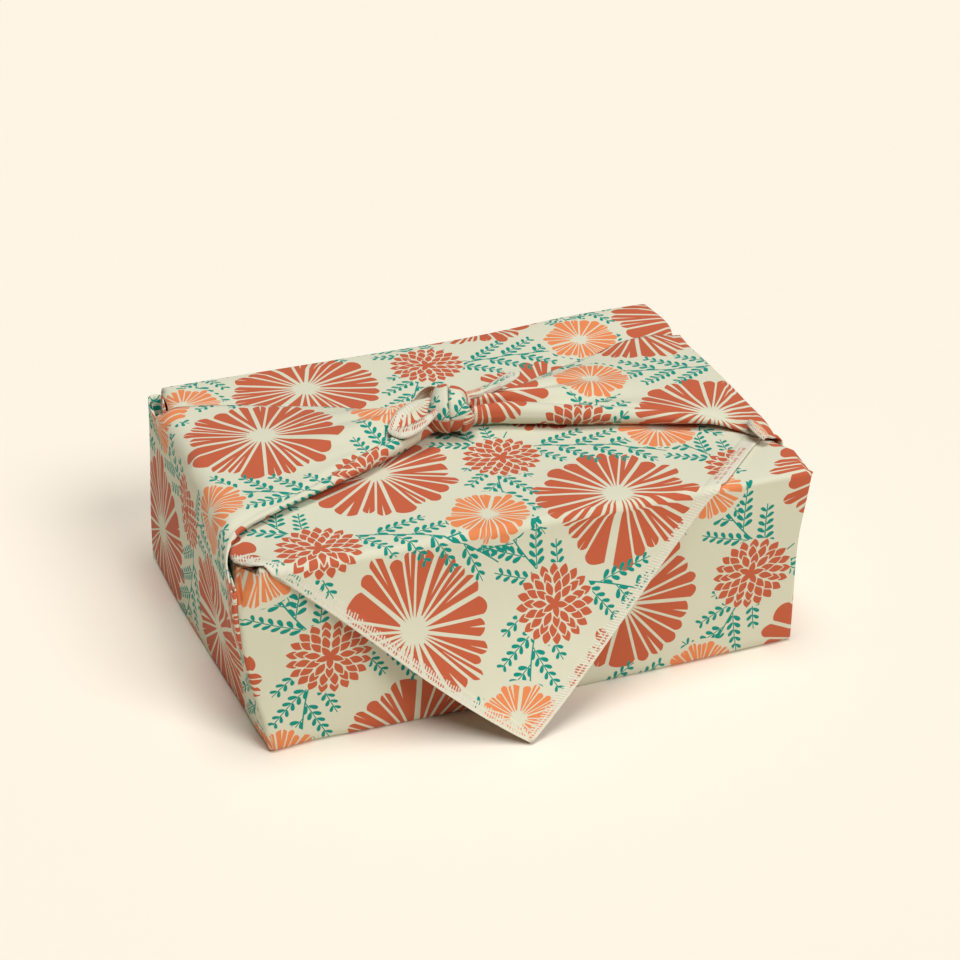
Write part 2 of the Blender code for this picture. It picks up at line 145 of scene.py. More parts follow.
# %% Measures of the walls and pleats
DRAW_IN = 0.0060  # how far the left end leans in at its foot
FRONT_BULGE = 0.0030  # how far the front wall bellies out at the floor
CHAMFER = 0.0015  # at the foot, where the cloth turns under the carton
PLEAT_AT_FLOOR = 0.006  # a pleat's depth, which grows with height
PLEAT_SLOPE = 0.85
PLEAT_TOP = 0.088
LIP = 0.0015  # how far the outer layer's fold lies behind the corner
# At three corners that fold is set back by other amounts: (end, wall) as signs of x and y, then the
# amount at the floor and at the top.
SET_BACK = {
    (1, -1): (0.0040, 0.0225),
    (-1, 1): (0.0015, 0.0026),
    (-1, -1): (0.0030, 0.0015),
}
END_MARGIN = 0.010  # the outer layer's even columns start at least this far behind the corner
PAST_LIP = 0.006
TURN = 0.3 * FOLD_RADIUS
INNER_SHARES = (0.0, 0.15, 0.3, 0.45, 0.6, 0.75, 0.9, 1.0)
MIDDLE_SHARES = INNER_SHARES[:0:-1]
CORNER_STEPS = 4  # steps round a corner
FOLD_STEPS = 6  # and round a fold from one layer to the next
INNER_END = CORNER_STEPS + len(INNER_SHARES)  # points of a pleat's row up to the end of its inner layer
WALL_LEVELS = spread(Z_FLOOR + CHAMFER, PLEAT_TOP)
WALL_COLUMNS = 68
END_COLUMNS = 44
HELD_ENDS = 20  # the wrinkles fade out over the first and last twentieth of a wall
print("a wall is", len(WALL_LEVELS), "levels high and", WALL_COLUMNS, "columns wide")


def end_x(side, y, z, layer):
    """Distance from the middle to one layer of an end, 0 for the outer one and 2 for the inner."""
    lean = 0.0
    if side < 0:
        lean = DRAW_IN * max(0.0, 1 - z / PLEAT_TOP) * (0.5 - y / DEPTH)
    return X_OUT - layer * LAYER - max(0.0, lean)


# %% [markdown]
# ## An open pleat
# Hands don't fold four corners alike. The left front pleat gapes a little on its way up and ends in a
# pocket under the hem. The opening is a table of a few heights, and np.interp fills in between them.

# %% The open pleat at the left front
POCKET = (
    # height, gape of the outer layers, how far the wall's own edge stands out
    (0.000, -0.0014, 0.0030),
    (0.014, -0.0014, 0.0032),
    (0.028, -0.0012, 0.0042),
    (0.038, -0.0008, 0.0045),
    (0.053, -0.0002, 0.0040),
    (0.066, 0.0008, 0.0028),
    (0.075, 0.0010, 0.0026),
    (0.088, 0.0010, 0.0026),
    (0.092, 0.0010, -0.0045),
    (0.099, 0.0010, -0.0050),
)
GAPE, EDGE = 1, 2  # columns of that table
POCKET_REACH = {GAPE: 0.022, EDGE: 0.010}  # along the end
POCKET_RECESS = 0.0120  # over the pleat, the corner itself is hollow
RECESS_UP = (0.082, 0.006)  # start and width of a ramp, as for all the pairs below
TIGHTEN = 0.0011  # at the right front corner the outer layers lie closer
TIGHTEN_FORWARD = (-0.050, -0.020)


def pocket(side, y, z, column):
    """One measure of the left front pleat's opening, fading along the end."""
    if side > 0 or y > 0:
        return 0.0
    levels, values = [row[0] for row in POCKET], [row[column] for row in POCKET]
    return float(np.interp(z, levels, values)) * ease(1 - (Y_WALL + y) / POCKET_REACH[column])


def gape(side, y, z):
    """How far an end's outer layers stand off."""
    if side > 0:
        return -TIGHTEN * ramp(z, 0.0, PLEAT_TOP) * ramp(y, *TIGHTEN_FORWARD)
    return pocket(side, y, z, GAPE)


print("the pocket gapes by", gape(-1, -Y_WALL, PLEAT_TOP), "m at the top of the pleat")

# %% [markdown]
# ## Loops at the back corners
# Behind the ties the cloth of an end isn't pulled up. At the left it stands as an open loop, with the
# middle layer standing in from the outer one. At the right it only dips in behind the tie. Both are the
# flat corner with a few smooth ramps added, so the rows of points stay the same.

# %% Loops and drawn-in corners
LOOP_START = {-1: 0.064, 1: 0.050}  # behind this place the cloth doesn't reach the tie
LOOP_LEAD = 0.004
LOOP_FADE = 0.010
LOOP_FOOT = 0.050  # the height at which a loop begins to form
LOOP_COLUMNS = {-1: 4, 1: 7}
LOOP_RISE = {-1: 0.0065, 1: 0.0}
LOOP_HOLLOW = 0.0054
HOLLOW_UP = (0.060, 0.028)
HOLLOW_RUN = 0.030
LOOP_OUT = ((0.055, 0.0), (0.070, -0.0006), (0.076, -0.0010), (0.088, 0.0016))  # height, distance out
LOOP_OUT_BACK = (0.045, 0.020)
LOOP_OUT_END = 0.010
BACK_CORNER_IN = 0.0036  # the top's two left corners are drawn in
BACK_CORNER_BACK = (0.055, 0.030)
BACK_CORNER_UP = (0.070, 0.024)
BACK_CORNER_REACH = 0.030
FRONT_CORNER_IN = 0.0060
FRONT_CORNER_FORWARD = (-0.078, -0.014)


def loop_share(side, y, z):
    """1 in the loop at an end's back corner and 0 away from it."""
    return ramp(z, LOOP_FOOT, PLEAT_TOP - LOOP_FOOT) * ease((y - LOOP_START[side] + LOOP_LEAD) / LOOP_FADE)


def hollow(side, y, z):
    """How far the middle layer stands in from the outer one inside the loop."""
    if side > 0:
        return 0.0
    return LOOP_HOLLOW * ramp(z, *HOLLOW_UP) * ramp(y, LOOP_START[side], HOLLOW_RUN)


def loop_out(side, y, z):
    """How far the loop's outer layer bulges out."""
    if side > 0:
        return 0.0
    levels, values = zip(*LOOP_OUT)
    return float(np.interp(z, levels, values)) * ramp(y, *LOOP_OUT_BACK) * ramp(y, Y_WALL, -LOOP_OUT_END)


def edge_out(side, y, z):
    """How far the wall's own edge stands out at a corner of the left end."""
    if side > 0 or y < 0:
        return pocket(side, y, z, EDGE)
    return -BACK_CORNER_IN * ramp(z, *BACK_CORNER_UP) * ease(1 - (Y_WALL - y) / BACK_CORNER_REACH)


def corner_in(side, y):
    """How far the edge of the top is drawn in."""
    if side > 0:
        return 0.0
    return BACK_CORNER_IN * ramp(y, *BACK_CORNER_BACK) + FRONT_CORNER_IN * ramp(y, *FRONT_CORNER_FORWARD)


print("the left loop rises by", LOOP_RISE[-1], "m and is", LOOP_HOLLOW, "m deep")

# %% [markdown]
# ## The front and back walls
# A wall is cloth drawn tight over a flat side of the box. The front one still bellies out at the floor,
# where nothing pulls on it. It could be a grid that is added and bent. Rows of points are used instead,
# because their columns have to match those of the flap above.

# %% Rows of a wall
def wall_end(side, face, z):
    out = end_x(side, face * Y_WALL, z, 2) + edge_out(side, face * Y_WALL, z)
    return side * (out - FOLD_RADIUS)


def wall_row(face, z):
    left, right = wall_end(-1, face, z), wall_end(1, face, z)
    row = []
    for i in range(WALL_COLUMNS + 1):
        share = i / WALL_COLUMNS
        slack = FRONT_BULGE * math.sin(math.pi * share) * (1 - z / HEIGHT) if face < 0 else 0.0
        x = lerp(left, right, share)
        free = ease(min(share, 1 - share) * HELD_ENDS)
        row.append(spot(x, face * (Y_WALL + slack), z, x, face * (DEPTH / 2 + z), free))
    return row


drawn_in = wall_end(-1, 1, PLEAT_TOP) - wall_end(-1, 1, 0.0)
print("at its top the left back corner is drawn in by", round(drawn_in, 4), "m")

# %% [markdown]
# ## The path of a pleat
# Seen from above, a pleat is a path: round the corner, back along the inner layer, round a fold, forward
# along the middle layer, round the lip, and off along the outer layer. Each step of the path holds how
# far it is out and how far behind the corner, and its place on the uncut square.

# %% Rows of a pleat
def pleat_depth(z):
    return PLEAT_AT_FLOOR + PLEAT_SLOPE * z


def lip_depth(side, face, z):
    low, high = SET_BACK.get((side, face), (LIP, LIP))
    return lerp(low, high, ease(z / PLEAT_TOP))


def end_margin(side, face, z):
    return max(END_MARGIN, lip_depth(side, face, z) + PAST_LIP)


def quarter(start, end):
    """Points on a quarter circle that leaves start along one axis and arrives at end along the other."""
    points = []
    for i in range(CORNER_STEPS + 1):
        a = math.pi / 2 * i / CORNER_STEPS
        points.append((lerp(start[0], end[0], math.sin(a)), lerp(start[1], end[1], 1 - math.cos(a))))
    return points


def half_turn(low, high, inward, bulge):
    """Points of a fold from one layer to the next, both at the same depth. Bulge is its reach."""
    middle, radius = (low + high) / 2, (high - low) / 2
    points = []
    for i in range(1, FOLD_STEPS):
        a = math.pi * i / FOLD_STEPS
        points.append((middle - radius * math.cos(a), inward + bulge * math.sin(a)))
    return points


def pleat_path(side, face, z):
    """The steps of a pleat's row: out from the inner layer, behind the corner, and the flat coordinate."""
    depth, half, lip = pleat_depth(z), LAYER / 2, lip_depth(side, face, z)
    out_flat, far_flat = LENGTH / 2 + z, DEPTH / 2 + z
    inner_flat = X_IN + FOLD_RADIUS / 2
    corner = quarter((-FOLD_RADIUS, 0.0), (0.0, FOLD_RADIUS))[:-1]
    path = [(o, i, X_IN - FOLD_RADIUS + k * TURN, far_flat) for k, (o, i) in enumerate(corner)]
    for share in INNER_SHARES:
        inward = lerp(FOLD_RADIUS, depth, share)
        path.append((0.0, inward, inner_flat + inward, far_flat))
    for o, i in half_turn(0.0, LAYER, depth, half):
        path.append((o, i, out_flat, far_flat))
    fold = lip + half
    for share in MIDDLE_SHARES:
        inward = lerp(fold, depth, share)
        open_by = hollow(side, face * (Y_WALL - inward), z)
        path.append((LAYER - open_by, inward, out_flat, lerp(DEPTH / 2 - lip, far_flat, share)))
    open_by = hollow(side, face * (Y_WALL - fold), z)
    path.append((LAYER - open_by, fold, out_flat, DEPTH / 2 - lip))
    for o, i in half_turn(LAYER - open_by, 2 * LAYER, fold, -half - open_by / 2):
        path.append((o, i, out_flat, Y_WALL - i))
    margin = end_margin(side, face, z)
    for inward in (fold, lerp(lip, margin, 0.5), margin):
        path.append((2 * LAYER, inward, out_flat, Y_WALL - inward))
    return path


def pleat_row(side, face, z):
    """One level of a corner, as far as the outer layer's first column."""
    path = pleat_path(side, face, z)
    left_front = (side, face) == (-1, -1)
    row = []
    for i, (out, inward, p, q) in enumerate(path):
        if left_front and 0 < i <= INNER_END:
            inward += POCKET_RECESS * ramp(z, *RECESS_UP) * (1 - inward / pleat_depth(z))
        y = face * (Y_WALL - inward)
        height = z
        if i > INNER_END:
            opening = gape(side, y, z)
            height += LOOP_RISE[side] * loop_share(side, y, z)
        else:
            opening = edge_out(side, y, z)
        if i == len(path) - 1:
            opening += loop_out(side, y, z)
        free = 1.0 if i >= len(path) - 2 else 0.0
        row.append(spot(side * (end_x(side, y, z, 2) + out + opening), y, height, side * p, face * q, free))
    return row


print("a pleat is", round(pleat_depth(PLEAT_TOP), 3), "m deep at its top")

# %% [markdown]
# ## The outer layer of an end
# Between its two pleats an end is one layer of cloth, in even columns. Where the loop begins, the columns
# change to the loop's own, so that one column lies exactly where the tie's rear edge comes down.

# %% Rows of an end's outer layer
def end_ys(side, z=0.0):
    """Places along an end: evenly spaced as far as the loop, then its own few columns."""
    front = end_margin(side, -1, z) - Y_WALL
    back = Y_WALL - end_margin(side, 1, z)
    start, behind = LOOP_START[side], LOOP_COLUMNS[side]
    even = END_COLUMNS - behind
    ys = [lerp(front, start, i / even) for i in range(even)]
    return ys + [lerp(start, back, i / behind) for i in range(behind + 1)]


def end_row(side, z):
    row = []
    for y in end_ys(side, z):
        x = side * (end_x(side, y, z, 0) + gape(side, y, z) + loop_out(side, y, z))
        height = z + LOOP_RISE[side] * loop_share(side, y, z)
        row.append(spot(x, y, height, side * (LENGTH / 2 + z), y, 1.0))
    return row


print("an end's outer layer has", len(end_ys(1)), "columns")

# %% [markdown]
# ## Walls and floor of the cloth
# The rows are stacked into patches here. Under the box the cloth is flat, and its grid takes its columns
# from the walls and its rows from the ends, so that every edge point has a partner. A narrow chamfer at
# the foot stands for the cloth's own bend and keeps the lowest edge from looking like cut card.

# %% Walls and floor
def add_walls(sheet):
    for face in (-1, 1):
        sheet.patch([wall_row(face, z) for z in WALL_LEVELS])
        for side in (-1, 1):
            sheet.patch([pleat_row(side, face, z) for z in WALL_LEVELS])
    for side in (-1, 1):
        sheet.patch([end_row(side, z) for z in WALL_LEVELS])


def lowered(row, out_x, out_y):
    """A row moved in by the chamfer and down to the floor."""
    return [spot(s[0] - out_x * CHAMFER, s[1] - out_y * CHAMFER, Z_FLOOR, s[3], s[4]) for s in row]


def add_floor(sheet):
    low = WALL_LEVELS[0]
    margins = {}
    for face in (-1, 1):
        wall = wall_row(face, low)
        margins[face] = lowered(wall, 0, face)
        sheet.patch([margins[face], wall])
    middle = []
    for left_y, right_y in zip(end_ys(-1), end_ys(1)):
        row = []
        for i, (front, back) in enumerate(zip(margins[-1], margins[1])):
            y = lerp(left_y, right_y, i / WALL_COLUMNS)
            share = (y - front[1]) / (back[1] - front[1])
            x = lerp(front[0], back[0], share)
            row.append(spot(x, y, Z_FLOOR, x, y))
        middle.append(row)
    sheet.patch([margins[-1]] + middle + [margins[1]])
    for side in (-1, 1):
        wall = end_row(side, low)
        turn = lowered(wall, side, 0)
        column = 0 if side < 0 else -1
        sheet.patch([[row[column] for row in middle], turn, wall])
        for face in (-1, 1):
            last = 0 if face < 0 else -1
            corner = pleat_row(side, face, low)
            sheet.face([margins[face][column]] + corner + [turn[last], middle[last][column]])


sheet = Sheet()
add_floor(sheet)
add_walls(sheet)
print("floor and walls:", len(sheet.faces), "faces")

# %% [markdown]
# ## Over the top edges
# A flap starts as its wall does, turns over the top edge, and rolls down a little over the two ends.
# A Bevel modifier could round these edges, but it would also round the folds. Where a wall, a flap and an
# end's inner layer meet, a ring of points is closed with a fan of triangles.

# %% Turns and corners at the top
ROLL = [X_IN - FOLD_RADIUS + 2 * FOLD_RADIUS * quarters / 4 for quarters in (1, 2, 3, 4)]  # over an end
PEAK = {-1: 0.0, 1: 0.0004}  # how far the front corners stand out


def over_edge(u, reach, z):
    """Rolls a point of a flap over an end of the parcel: u runs along it, and turns down at reach."""
    side = -1 if u < 0 else 1
    past = abs(u) - (reach - FOLD_RADIUS)
    if past <= 0:
        return u, z
    t = min(1.0, past / (2 * FOLD_RADIUS))
    x = reach - FOLD_RADIUS * (1 - t) ** 2
    return side * x, z - FOLD_RADIUS * t * t


def add_corner_cap(sheet, side, face, z, peak):
    """Closes the corner where a wall, a flap and the inner layer of an end meet."""
    corner = pleat_row(side, face, z - FOLD_RADIUS)[:CORNER_STEPS + 1]
    rising = quarter((z - FOLD_RADIUS, 0.0), (z, FOLD_RADIUS))
    q = face * (DEPTH / 2 + HEIGHT)
    over = [spot(corner[0][0], face * (Y_WALL - i), height, corner[0][3], q) for height, i in rising[1:]]
    rolled = []
    reach = X_IN - corner_in(side, face * Y_WALL)
    for u in ROLL:
        x, drop = over_edge(side * u, reach, z)
        rolled.append(spot(x, face * (Y_WALL - FOLD_RADIUS), drop, side * X_IN, q))
    recess = POCKET_RECESS / 2 if (side, face) == (-1, -1) else 0.0
    middle = spot(side * (reach - TURN + peak), face * (Y_WALL - TURN + peak - recess), z - TURN + peak / 3,
                  side * X_IN, q)
    ring = corner[:1] + over + rolled[:-1] + corner[:0:-1]
    for i, place in enumerate(ring):
        sheet.face((place, ring[(i + 1) % len(ring)], middle))


def wall_top(face, z):
    """The turn from the front or back wall to a flap."""
    level = z - FOLD_RADIUS
    wall = wall_row(face, level)
    rows = [wall_row(face, PLEAT_TOP), wall]
    for height, inward in quarter((level, 0.0), (z, FOLD_RADIUS))[1:]:
        q = face * (DEPTH / 2 + level + inward)
        rows.append([spot(s[0], face * (Y_WALL - inward), height, s[3], q) for s in wall])
    return rows


def add_pleat_top(sheet, side, face, level):
    """The inner run of a pleat goes on up to the flap, above the pleat's folds."""
    sheet.patch([pleat_row(side, face, z)[:INNER_END] for z in (PLEAT_TOP, level)])


print("at an end a flap rolls down to", round(over_edge(ROLL[-1], X_IN, HEIGHT)[1], 4), "m")

# %% [markdown]
# ## The two flaps
# The front corner goes over the top first and is tucked down behind. The back corner goes over it and
# hangs down the front. A flap's rows are drawn in between its two hems, so the mesh ends in the square
# corner of the cloth, with a clean edge for the overlocking.

# %% Rows of a flap
HELD_EDGE = 0.012  # wrinkles fade out this close to a flap's edge


def flap_us(xs):
    """Places across a flap: those of the wall below it, and its turn at either end."""
    return [-u for u in reversed(ROLL)] + xs + ROLL


def flap_row(y, z, us, reach, q, free):
    row = []
    for u in us:
        x, height = over_edge(u, reach - corner_in(math.copysign(1, u), y), z)
        row.append(spot(x, y, height, u, q, free * ramp(abs(u), reach, -HELD_EDGE)))
    return row


def finish_flap(sheet, face, level, z, turn, rows, peaks):
    """Joins a flap's rows to its wall and closes the corners at either end of the turn."""
    sheet.patch(turn)
    sheet.patch([turn[-1], rows[0][len(ROLL):-len(ROLL)]])
    sheet.patch(rows)
    for side in (-1, 1):
        add_pleat_top(sheet, side, face, level)
        add_corner_cap(sheet, side, face, z, peaks[side])


print("a flap's row has", len(flap_us([s[0] for s in wall_row(-1, HEIGHT)])), "points")

# %% [markdown]
# The front corner lies under everything else. Only its first part shows, in a small triangle on either
# side of the back corner's hems, so its rows are close there and sparse further back. It ends a little
# way down behind the box, since the rest is never seen.

# %% The front corner, tucked down behind
TUCK_DEPTH = 0.070
FREED = 0.008  # behind the pleats, the flap's edge comes free of the ends within this length
FRONT_ROWS = (0.030, 0.055, 0.075)  # y of the sparse rows under the back corner
FRONT_FREE = 0.6
FRONT_FREE_FADE = 0.06


def add_front_flap(sheet):
    z, limit = Z_FRONT_FLAP, X_IN + FOLD_RADIUS
    level = z - FOLD_RADIUS
    turn = wall_top(-1, z)
    us = flap_us([s[0] for s in turn[1]])
    room = HALF_DIAGONAL - DEPTH / 2 - HEIGHT
    joined = -Y_WALL + pleat_depth(level)
    back = Y_WALL - LAYER
    ys = [lerp(-Y_WALL + FOLD_RADIUS, joined, share) for share in INNER_SHARES]
    ys += [joined + FREED / 2, joined + FREED, *FRONT_ROWS, back - FOLD_RADIUS]
    rows = []
    for y in ys:
        freed = lerp(limit, X_IN - LAYER, ease((y - joined) / FREED))
        half = min(freed, room - (y + DEPTH / 2))
        q = -(DEPTH + HEIGHT + y)
        free = FRONT_FREE * ramp(y, 0.0, -FRONT_FREE_FADE)
        rows.append(flap_row(y, z, [u * half / limit for u in us], X_IN, q, free))
    for fallen in (TURN, FOLD_RADIUS, TUCK_DEPTH / 2, TUCK_DEPTH):
        share = (room - DEPTH - fallen) / limit
        y = back - TURN if fallen == TURN else back
        q = -(DEPTH * 1.5 + HEIGHT + fallen)
        rows.append([spot(u * share, y, z - fallen, u * share, q) for u in us])
    finish_flap(sheet, -1, level, z, turn, rows, PEAK)


add_front_flap(sheet)
print("with the front corner:", len(sheet.faces), "faces")

# %% [markdown]
# The back corner is the part that is seen most. It bends over the front edge in a round turn, and its
# stiff hem makes it stand out more and more towards the tip. A cloth simulation would let it hang
# straight. Its profile is one sine and one power instead, which are easy to tune. The tip is cut off by
# less than a millimetre, so that it isn't a needle.

# %% The back corner, hanging down the front
HANG = 0.110  # from the top edge to the tip, along the cloth
FLARE = 0.037  # how far the tip stands out
HANG_BEND = math.radians(56)
HANG_LIFT_OUT = 1.35
HANG_STEP = 0.003
BLUNT_TIP = 0.0004
TOP_EDGE_STEP = math.pi / 10
PLEAT_STEP = 0.05
SPREAD_OVER = 8  # past the pleats, the flap's last eighth at either end spreads over the layers below


def hang_profile(fallen):
    """Height and distance out from the wall, at a distance down the hanging corner."""
    start = FOLD_RADIUS + LAYER
    share = (fallen - start) / (HANG - start)
    drop = (Z_BACK_FLAP - start - CLOTH) * math.sin(share * HANG_BEND) / math.sin(HANG_BEND)
    return Z_BACK_FLAP - start - drop, FLARE * share**HANG_LIFT_OUT


def squeezed(us, room):
    """A row of the back flap drawn in between its two hems."""
    centre, limit = CLOTH_CENTRE[0], X_IN + FOLD_RADIUS
    low, high = max(-limit, centre - room), min(limit, centre + room)
    found = []
    for u in us:
        if u < centre:
            found.append(lerp(centre, low, (centre - u) / (centre + limit)))
        else:
            found.append(lerp(centre, high, (u - centre) / (limit - centre)))
    return found


def add_back_flap(sheet):
    z = Z_BACK_FLAP
    level = z - FOLD_RADIUS
    turn = wall_top(1, z)
    us = flap_us([s[0] for s in turn[1]])
    joined = Y_WALL - pleat_depth(level)
    front = -(Y_WALL + LAYER)
    radius = FOLD_RADIUS + LAYER
    ys = [lerp(Y_WALL - FOLD_RADIUS, joined, share) for share in spread(0.0, 1.0, PLEAT_STEP)]
    ys += spread(joined, front + radius)[1:]
    rows = []
    for y in ys:
        shift = LAYER * ease((joined - y) / (2 * joined))
        columns = squeezed(us, HANG + y - front)
        across = []
        for u in columns:
            near_end = ease(abs(u) / X_IN * SPREAD_OVER - (SPREAD_OVER - 1))
            across.append(u + math.copysign(shift * near_end, u))
        rows.append(flap_row(y, z, across, X_IN + shift, DEPTH + HEIGHT - y, 1.0))
    tip = CLOTH_CENTRE[1] + HALF_DIAGONAL
    for step in spread(0.0, math.pi / 2, TOP_EDGE_STEP)[1:-1]:
        y, height = front + radius * (1 - math.sin(step)), z - radius * (1 - math.cos(step))
        fallen = radius * step / (math.pi / 2) - radius / 2
        rows.append([spot(u, y, height, u, tip - HANG + fallen, 1.0) for u in squeezed(us, HANG - fallen)])
    for step in spread(radius, HANG - BLUNT_TIP, HANG_STEP):
        height, out = hang_profile(step)
        across = squeezed(us, HANG - step)
        rows.append([spot(u, front - out, height, u, tip - HANG + step, 1.0) for u in across])
    finish_flap(sheet, 1, level, z, turn, rows, {-1: 0.0, 1: 0.0})


add_back_flap(sheet)
print("with the back corner:", len(sheet.faces), "faces")


# %% [markdown]
# ## The two ties
# Each end goes on over its top edge as a tie that narrows to the knot. Its front edge is rolled, its
# crown rises towards the knot, and gathers run along it. It could be sculpted from a plane. Here a tie is
# a row of cross-sections, because their widths, heights and rolls can be set in a table. Each one is
# measured along its own curve, and that length is its flat coordinate, so the print isn't stretched.

# %% Stations of the ties
TIE_COLUMNS = ("x", "front", "rear", "lift", "roll")
LEFT_TIE = (
    (-0.1315, -0.0660, 0.0645, 0.0010, 0.0016),
    (-0.1240, -0.0600, 0.063, 0.0016, 0.0017),
    (-0.1050, -0.0500, 0.057, 0.0028, 0.0019),
    (-0.0850, -0.0425, 0.049, 0.0040, 0.0028),
    (-0.0640, -0.0330, 0.040, 0.0060, 0.0040),
    (-0.0440, -0.0215, 0.029, 0.0085, 0.0042),
    (-0.0300, -0.0130, 0.019, 0.0095, 0.0042),
    (-0.0200, -0.0060, 0.012, 0.0105, 0.0040),
    (-0.0120, -0.0030, 0.007, 0.0100, 0.0030),
)
RIGHT_TIE = (
    (0.1340, -0.0665, 0.0525, 0.0010, 0.0014),
    (0.1230, -0.0510, 0.0565, 0.0016, 0.0020),
    (0.1050, -0.0415, 0.055, 0.0028, 0.0028),
    (0.0840, -0.0335, 0.046, 0.0040, 0.0038),
    (0.0610, -0.0250, 0.037, 0.0055, 0.0045),
    (0.0430, -0.0190, 0.029, 0.0070, 0.0049),
    (0.0280, -0.0130, 0.022, 0.0085, 0.0052),
    (0.0150, -0.0080, 0.016, 0.0100, 0.0052),
    (0.0040, -0.0045, 0.011, 0.0105, 0.0048),
    (-0.0040, -0.0030, 0.007, 0.0100, 0.0030),
)
TIE_SECTIONS = 34
# Gathers on the crown: share of the way across, width as a share, and height at the knot.
LEFT_GATHERS = ((0.34, 0.05, -0.0016), (0.46, 0.06, 0.0012), (0.60, 0.05, -0.0014), (0.74, 0.06, 0.0010))
RIGHT_GATHERS = ((0.33, 0.06, -0.0034), (0.48, 0.06, 0.0018), (0.64, 0.05, -0.0020), (0.80, 0.06, 0.0012))
GATHERS_FROM = 0.02  # they are full up to here and fade out over the next length
GATHERS_FADE = 0.09
CURVE_STEPS = 12  # from one given point of a curve to the next


def run_length(curve):
    """How far along the curve each of its points lies."""
    return np.concatenate([[0], np.cumsum(np.linalg.norm(np.diff(curve, axis=0), axis=1))])


def smooth_curve(points, count):
    """A Catmull-Rom curve through points, resampled to count places at even steps along it."""
    points = np.array(points, float)
    padded = np.vstack([2 * points[0] - points[1], points, 2 * points[-1] - points[-2]])
    fine = []
    for i in range(len(points) - 1):
        a, b, c, d = padded[i:i + 4]
        for t in np.linspace(0, 1, CURVE_STEPS, endpoint=False):
            fine.append(0.5 * (2 * b + (c - a) * t + (2 * a - 5 * b + 4 * c - d) * t * t
                               + (3 * b - a - 3 * c + d) * t**3))
    fine = np.array(fine + [points[-1]])
    length = run_length(fine)
    at = np.linspace(0, length[-1], count)
    return np.stack([np.interp(at, length, fine[:, k]) for k in range(fine.shape[1])], axis=1)


for name, table in (("left", LEFT_TIE), ("right", RIGHT_TIE)):
    print("the", name, "tie is", round(table[0][2] - table[0][1], 4), "m wide at its end")

# %% [markdown]
# Cut across, a tie is a flat tube: the spare cloth comes back under it from both edges. The tube is left
# open below, where nobody looks, but both returns are made, because the rolled edge shows its inside.

# %% A tie cut across
ROLL_STEPS = ((0.0, 0.0, 1.0), (0.35, 0.08, 1.7), (1.1, 0.20, 2.0), (1.9, 0.32, 1.75), (2.5, 0.42, 1.2))
CROWN_STEPS = 24
CROWN_FROM = 0.05  # share of the way across at which it begins, behind the roll
CROWN_START = 0.80  # share of the crown's height just behind the roll
CROWN_FULL = 4  # it is whole after one fourth of the way across, and the roll has gone after 1 / 1.6 of it
ROLL_GONE = 1.6
REAR_FOLD = 0.0012
SETTLE = 0.0026  # close to the end, the right tie's front edge sinks on to the flap
SETTLE_OUT = (0.112, 0.014)
SETTLE_REACH = 0.020
ACROSS_TOP = END_COLUMNS + 3
RETURN_DEPTH = 0.060  # the spare cloth is turned under and folded back on itself
RETURN_SHARE = 0.47
RETURN_POINTS = 14
ON_TOP = slice(RETURN_POINTS - 1, 1 - RETURN_POINTS)


def tie_top(place, base, gathers):
    """The rolled front edge and the gathered crown, from front to rear."""
    width = place["rear"] - place["front"]
    roll, lift = place["roll"], place["lift"]
    near = ease(1 - (abs(place["x"]) - GATHERS_FROM) / GATHERS_FADE)
    top = []
    for out, share, height in ROLL_STEPS:
        inward = min(out * roll, share * width)
        top.append((place["front"] + inward, base + roll * height))
    start = top[-1][0]
    for share in np.linspace(CROWN_FROM, 1, CROWN_STEPS):
        y = lerp(start, place["rear"] - REAR_FOLD, share)
        across = (y - place["front"]) / width
        crown = lift * math.sin(math.pi * min(1.0, across)) + LAYER
        rolled = roll * (1 - ease(share * ROLL_GONE)) + LAYER
        height = max(crown * lerp(CROWN_START, 1.0, ease(share * CROWN_FULL)), rolled)
        for at, spread_out, rise in gathers:
            height += near * rise * math.exp(-((across - at) / spread_out) ** 2)
        top.append((y, base + max(height, LAYER)))
    return top


def tie_section(side, place, gathers):
    """A tie cut across, as (y, z) places: front return, top from front to rear, rear return."""
    front, rear, roll = place["front"], place["rear"], place["roll"]
    base = Z_BACK_FLAP + LAYER
    top = tie_top(place, base, gathers)
    back = min(RETURN_DEPTH, RETURN_SHARE * (rear - front))
    front_return = [(front + 0.25 * back, base + 0.5 * LAYER), (front + back, base + 0.5 * LAYER),
                    (front + back, base), (front + max(1.2 * roll, 0.5 * back), base),
                    (front + 0.35 * roll, base + 0.3 * roll), top[0]]
    rear_return = [top[-1], (rear, base + LAYER / 2), (rear - REAR_FOLD, base), (rear - back, base),
                   (rear - back, base + 0.5 * LAYER), (rear - 0.25 * back, base + 0.5 * LAYER)]
    curve = np.vstack([smooth_curve(front_return, RETURN_POINTS)[:-1], smooth_curve(top, ACROSS_TOP),
                       smooth_curve(rear_return, RETURN_POINTS)[1:]])
    if side > 0:
        sunk = SETTLE * ramp(abs(place["x"]), *SETTLE_OUT)
        curve[:, 1] -= sunk * ease(1 - (curve[:, 0] - front) / SETTLE_REACH)
    length = run_length(curve)
    middle = (front + rear) / 2
    q = middle + length - np.interp(middle, curve[ON_TOP, 0], length[ON_TOP])
    p = side * (LENGTH / 2 + HEIGHT + LENGTH / 2 - abs(place["x"]))
    return [spot(place["x"], y, z, p, flat, 1.0) for (y, z), flat in zip(curve, q)]


print("a tie's cross-section has", ACROSS_TOP, "points on top and", 2 * RETURN_POINTS - 2, "below")

# %% [markdown]
# The turn over the end joins the level rows of the wall to the slanting first section of the tie. It is
# made of rows blended from one to the other. Bridge Edge Loops would do the same by hand, but straight
# across, without the round shoulder. Behind the tie the same rows dip, which shapes the loops.

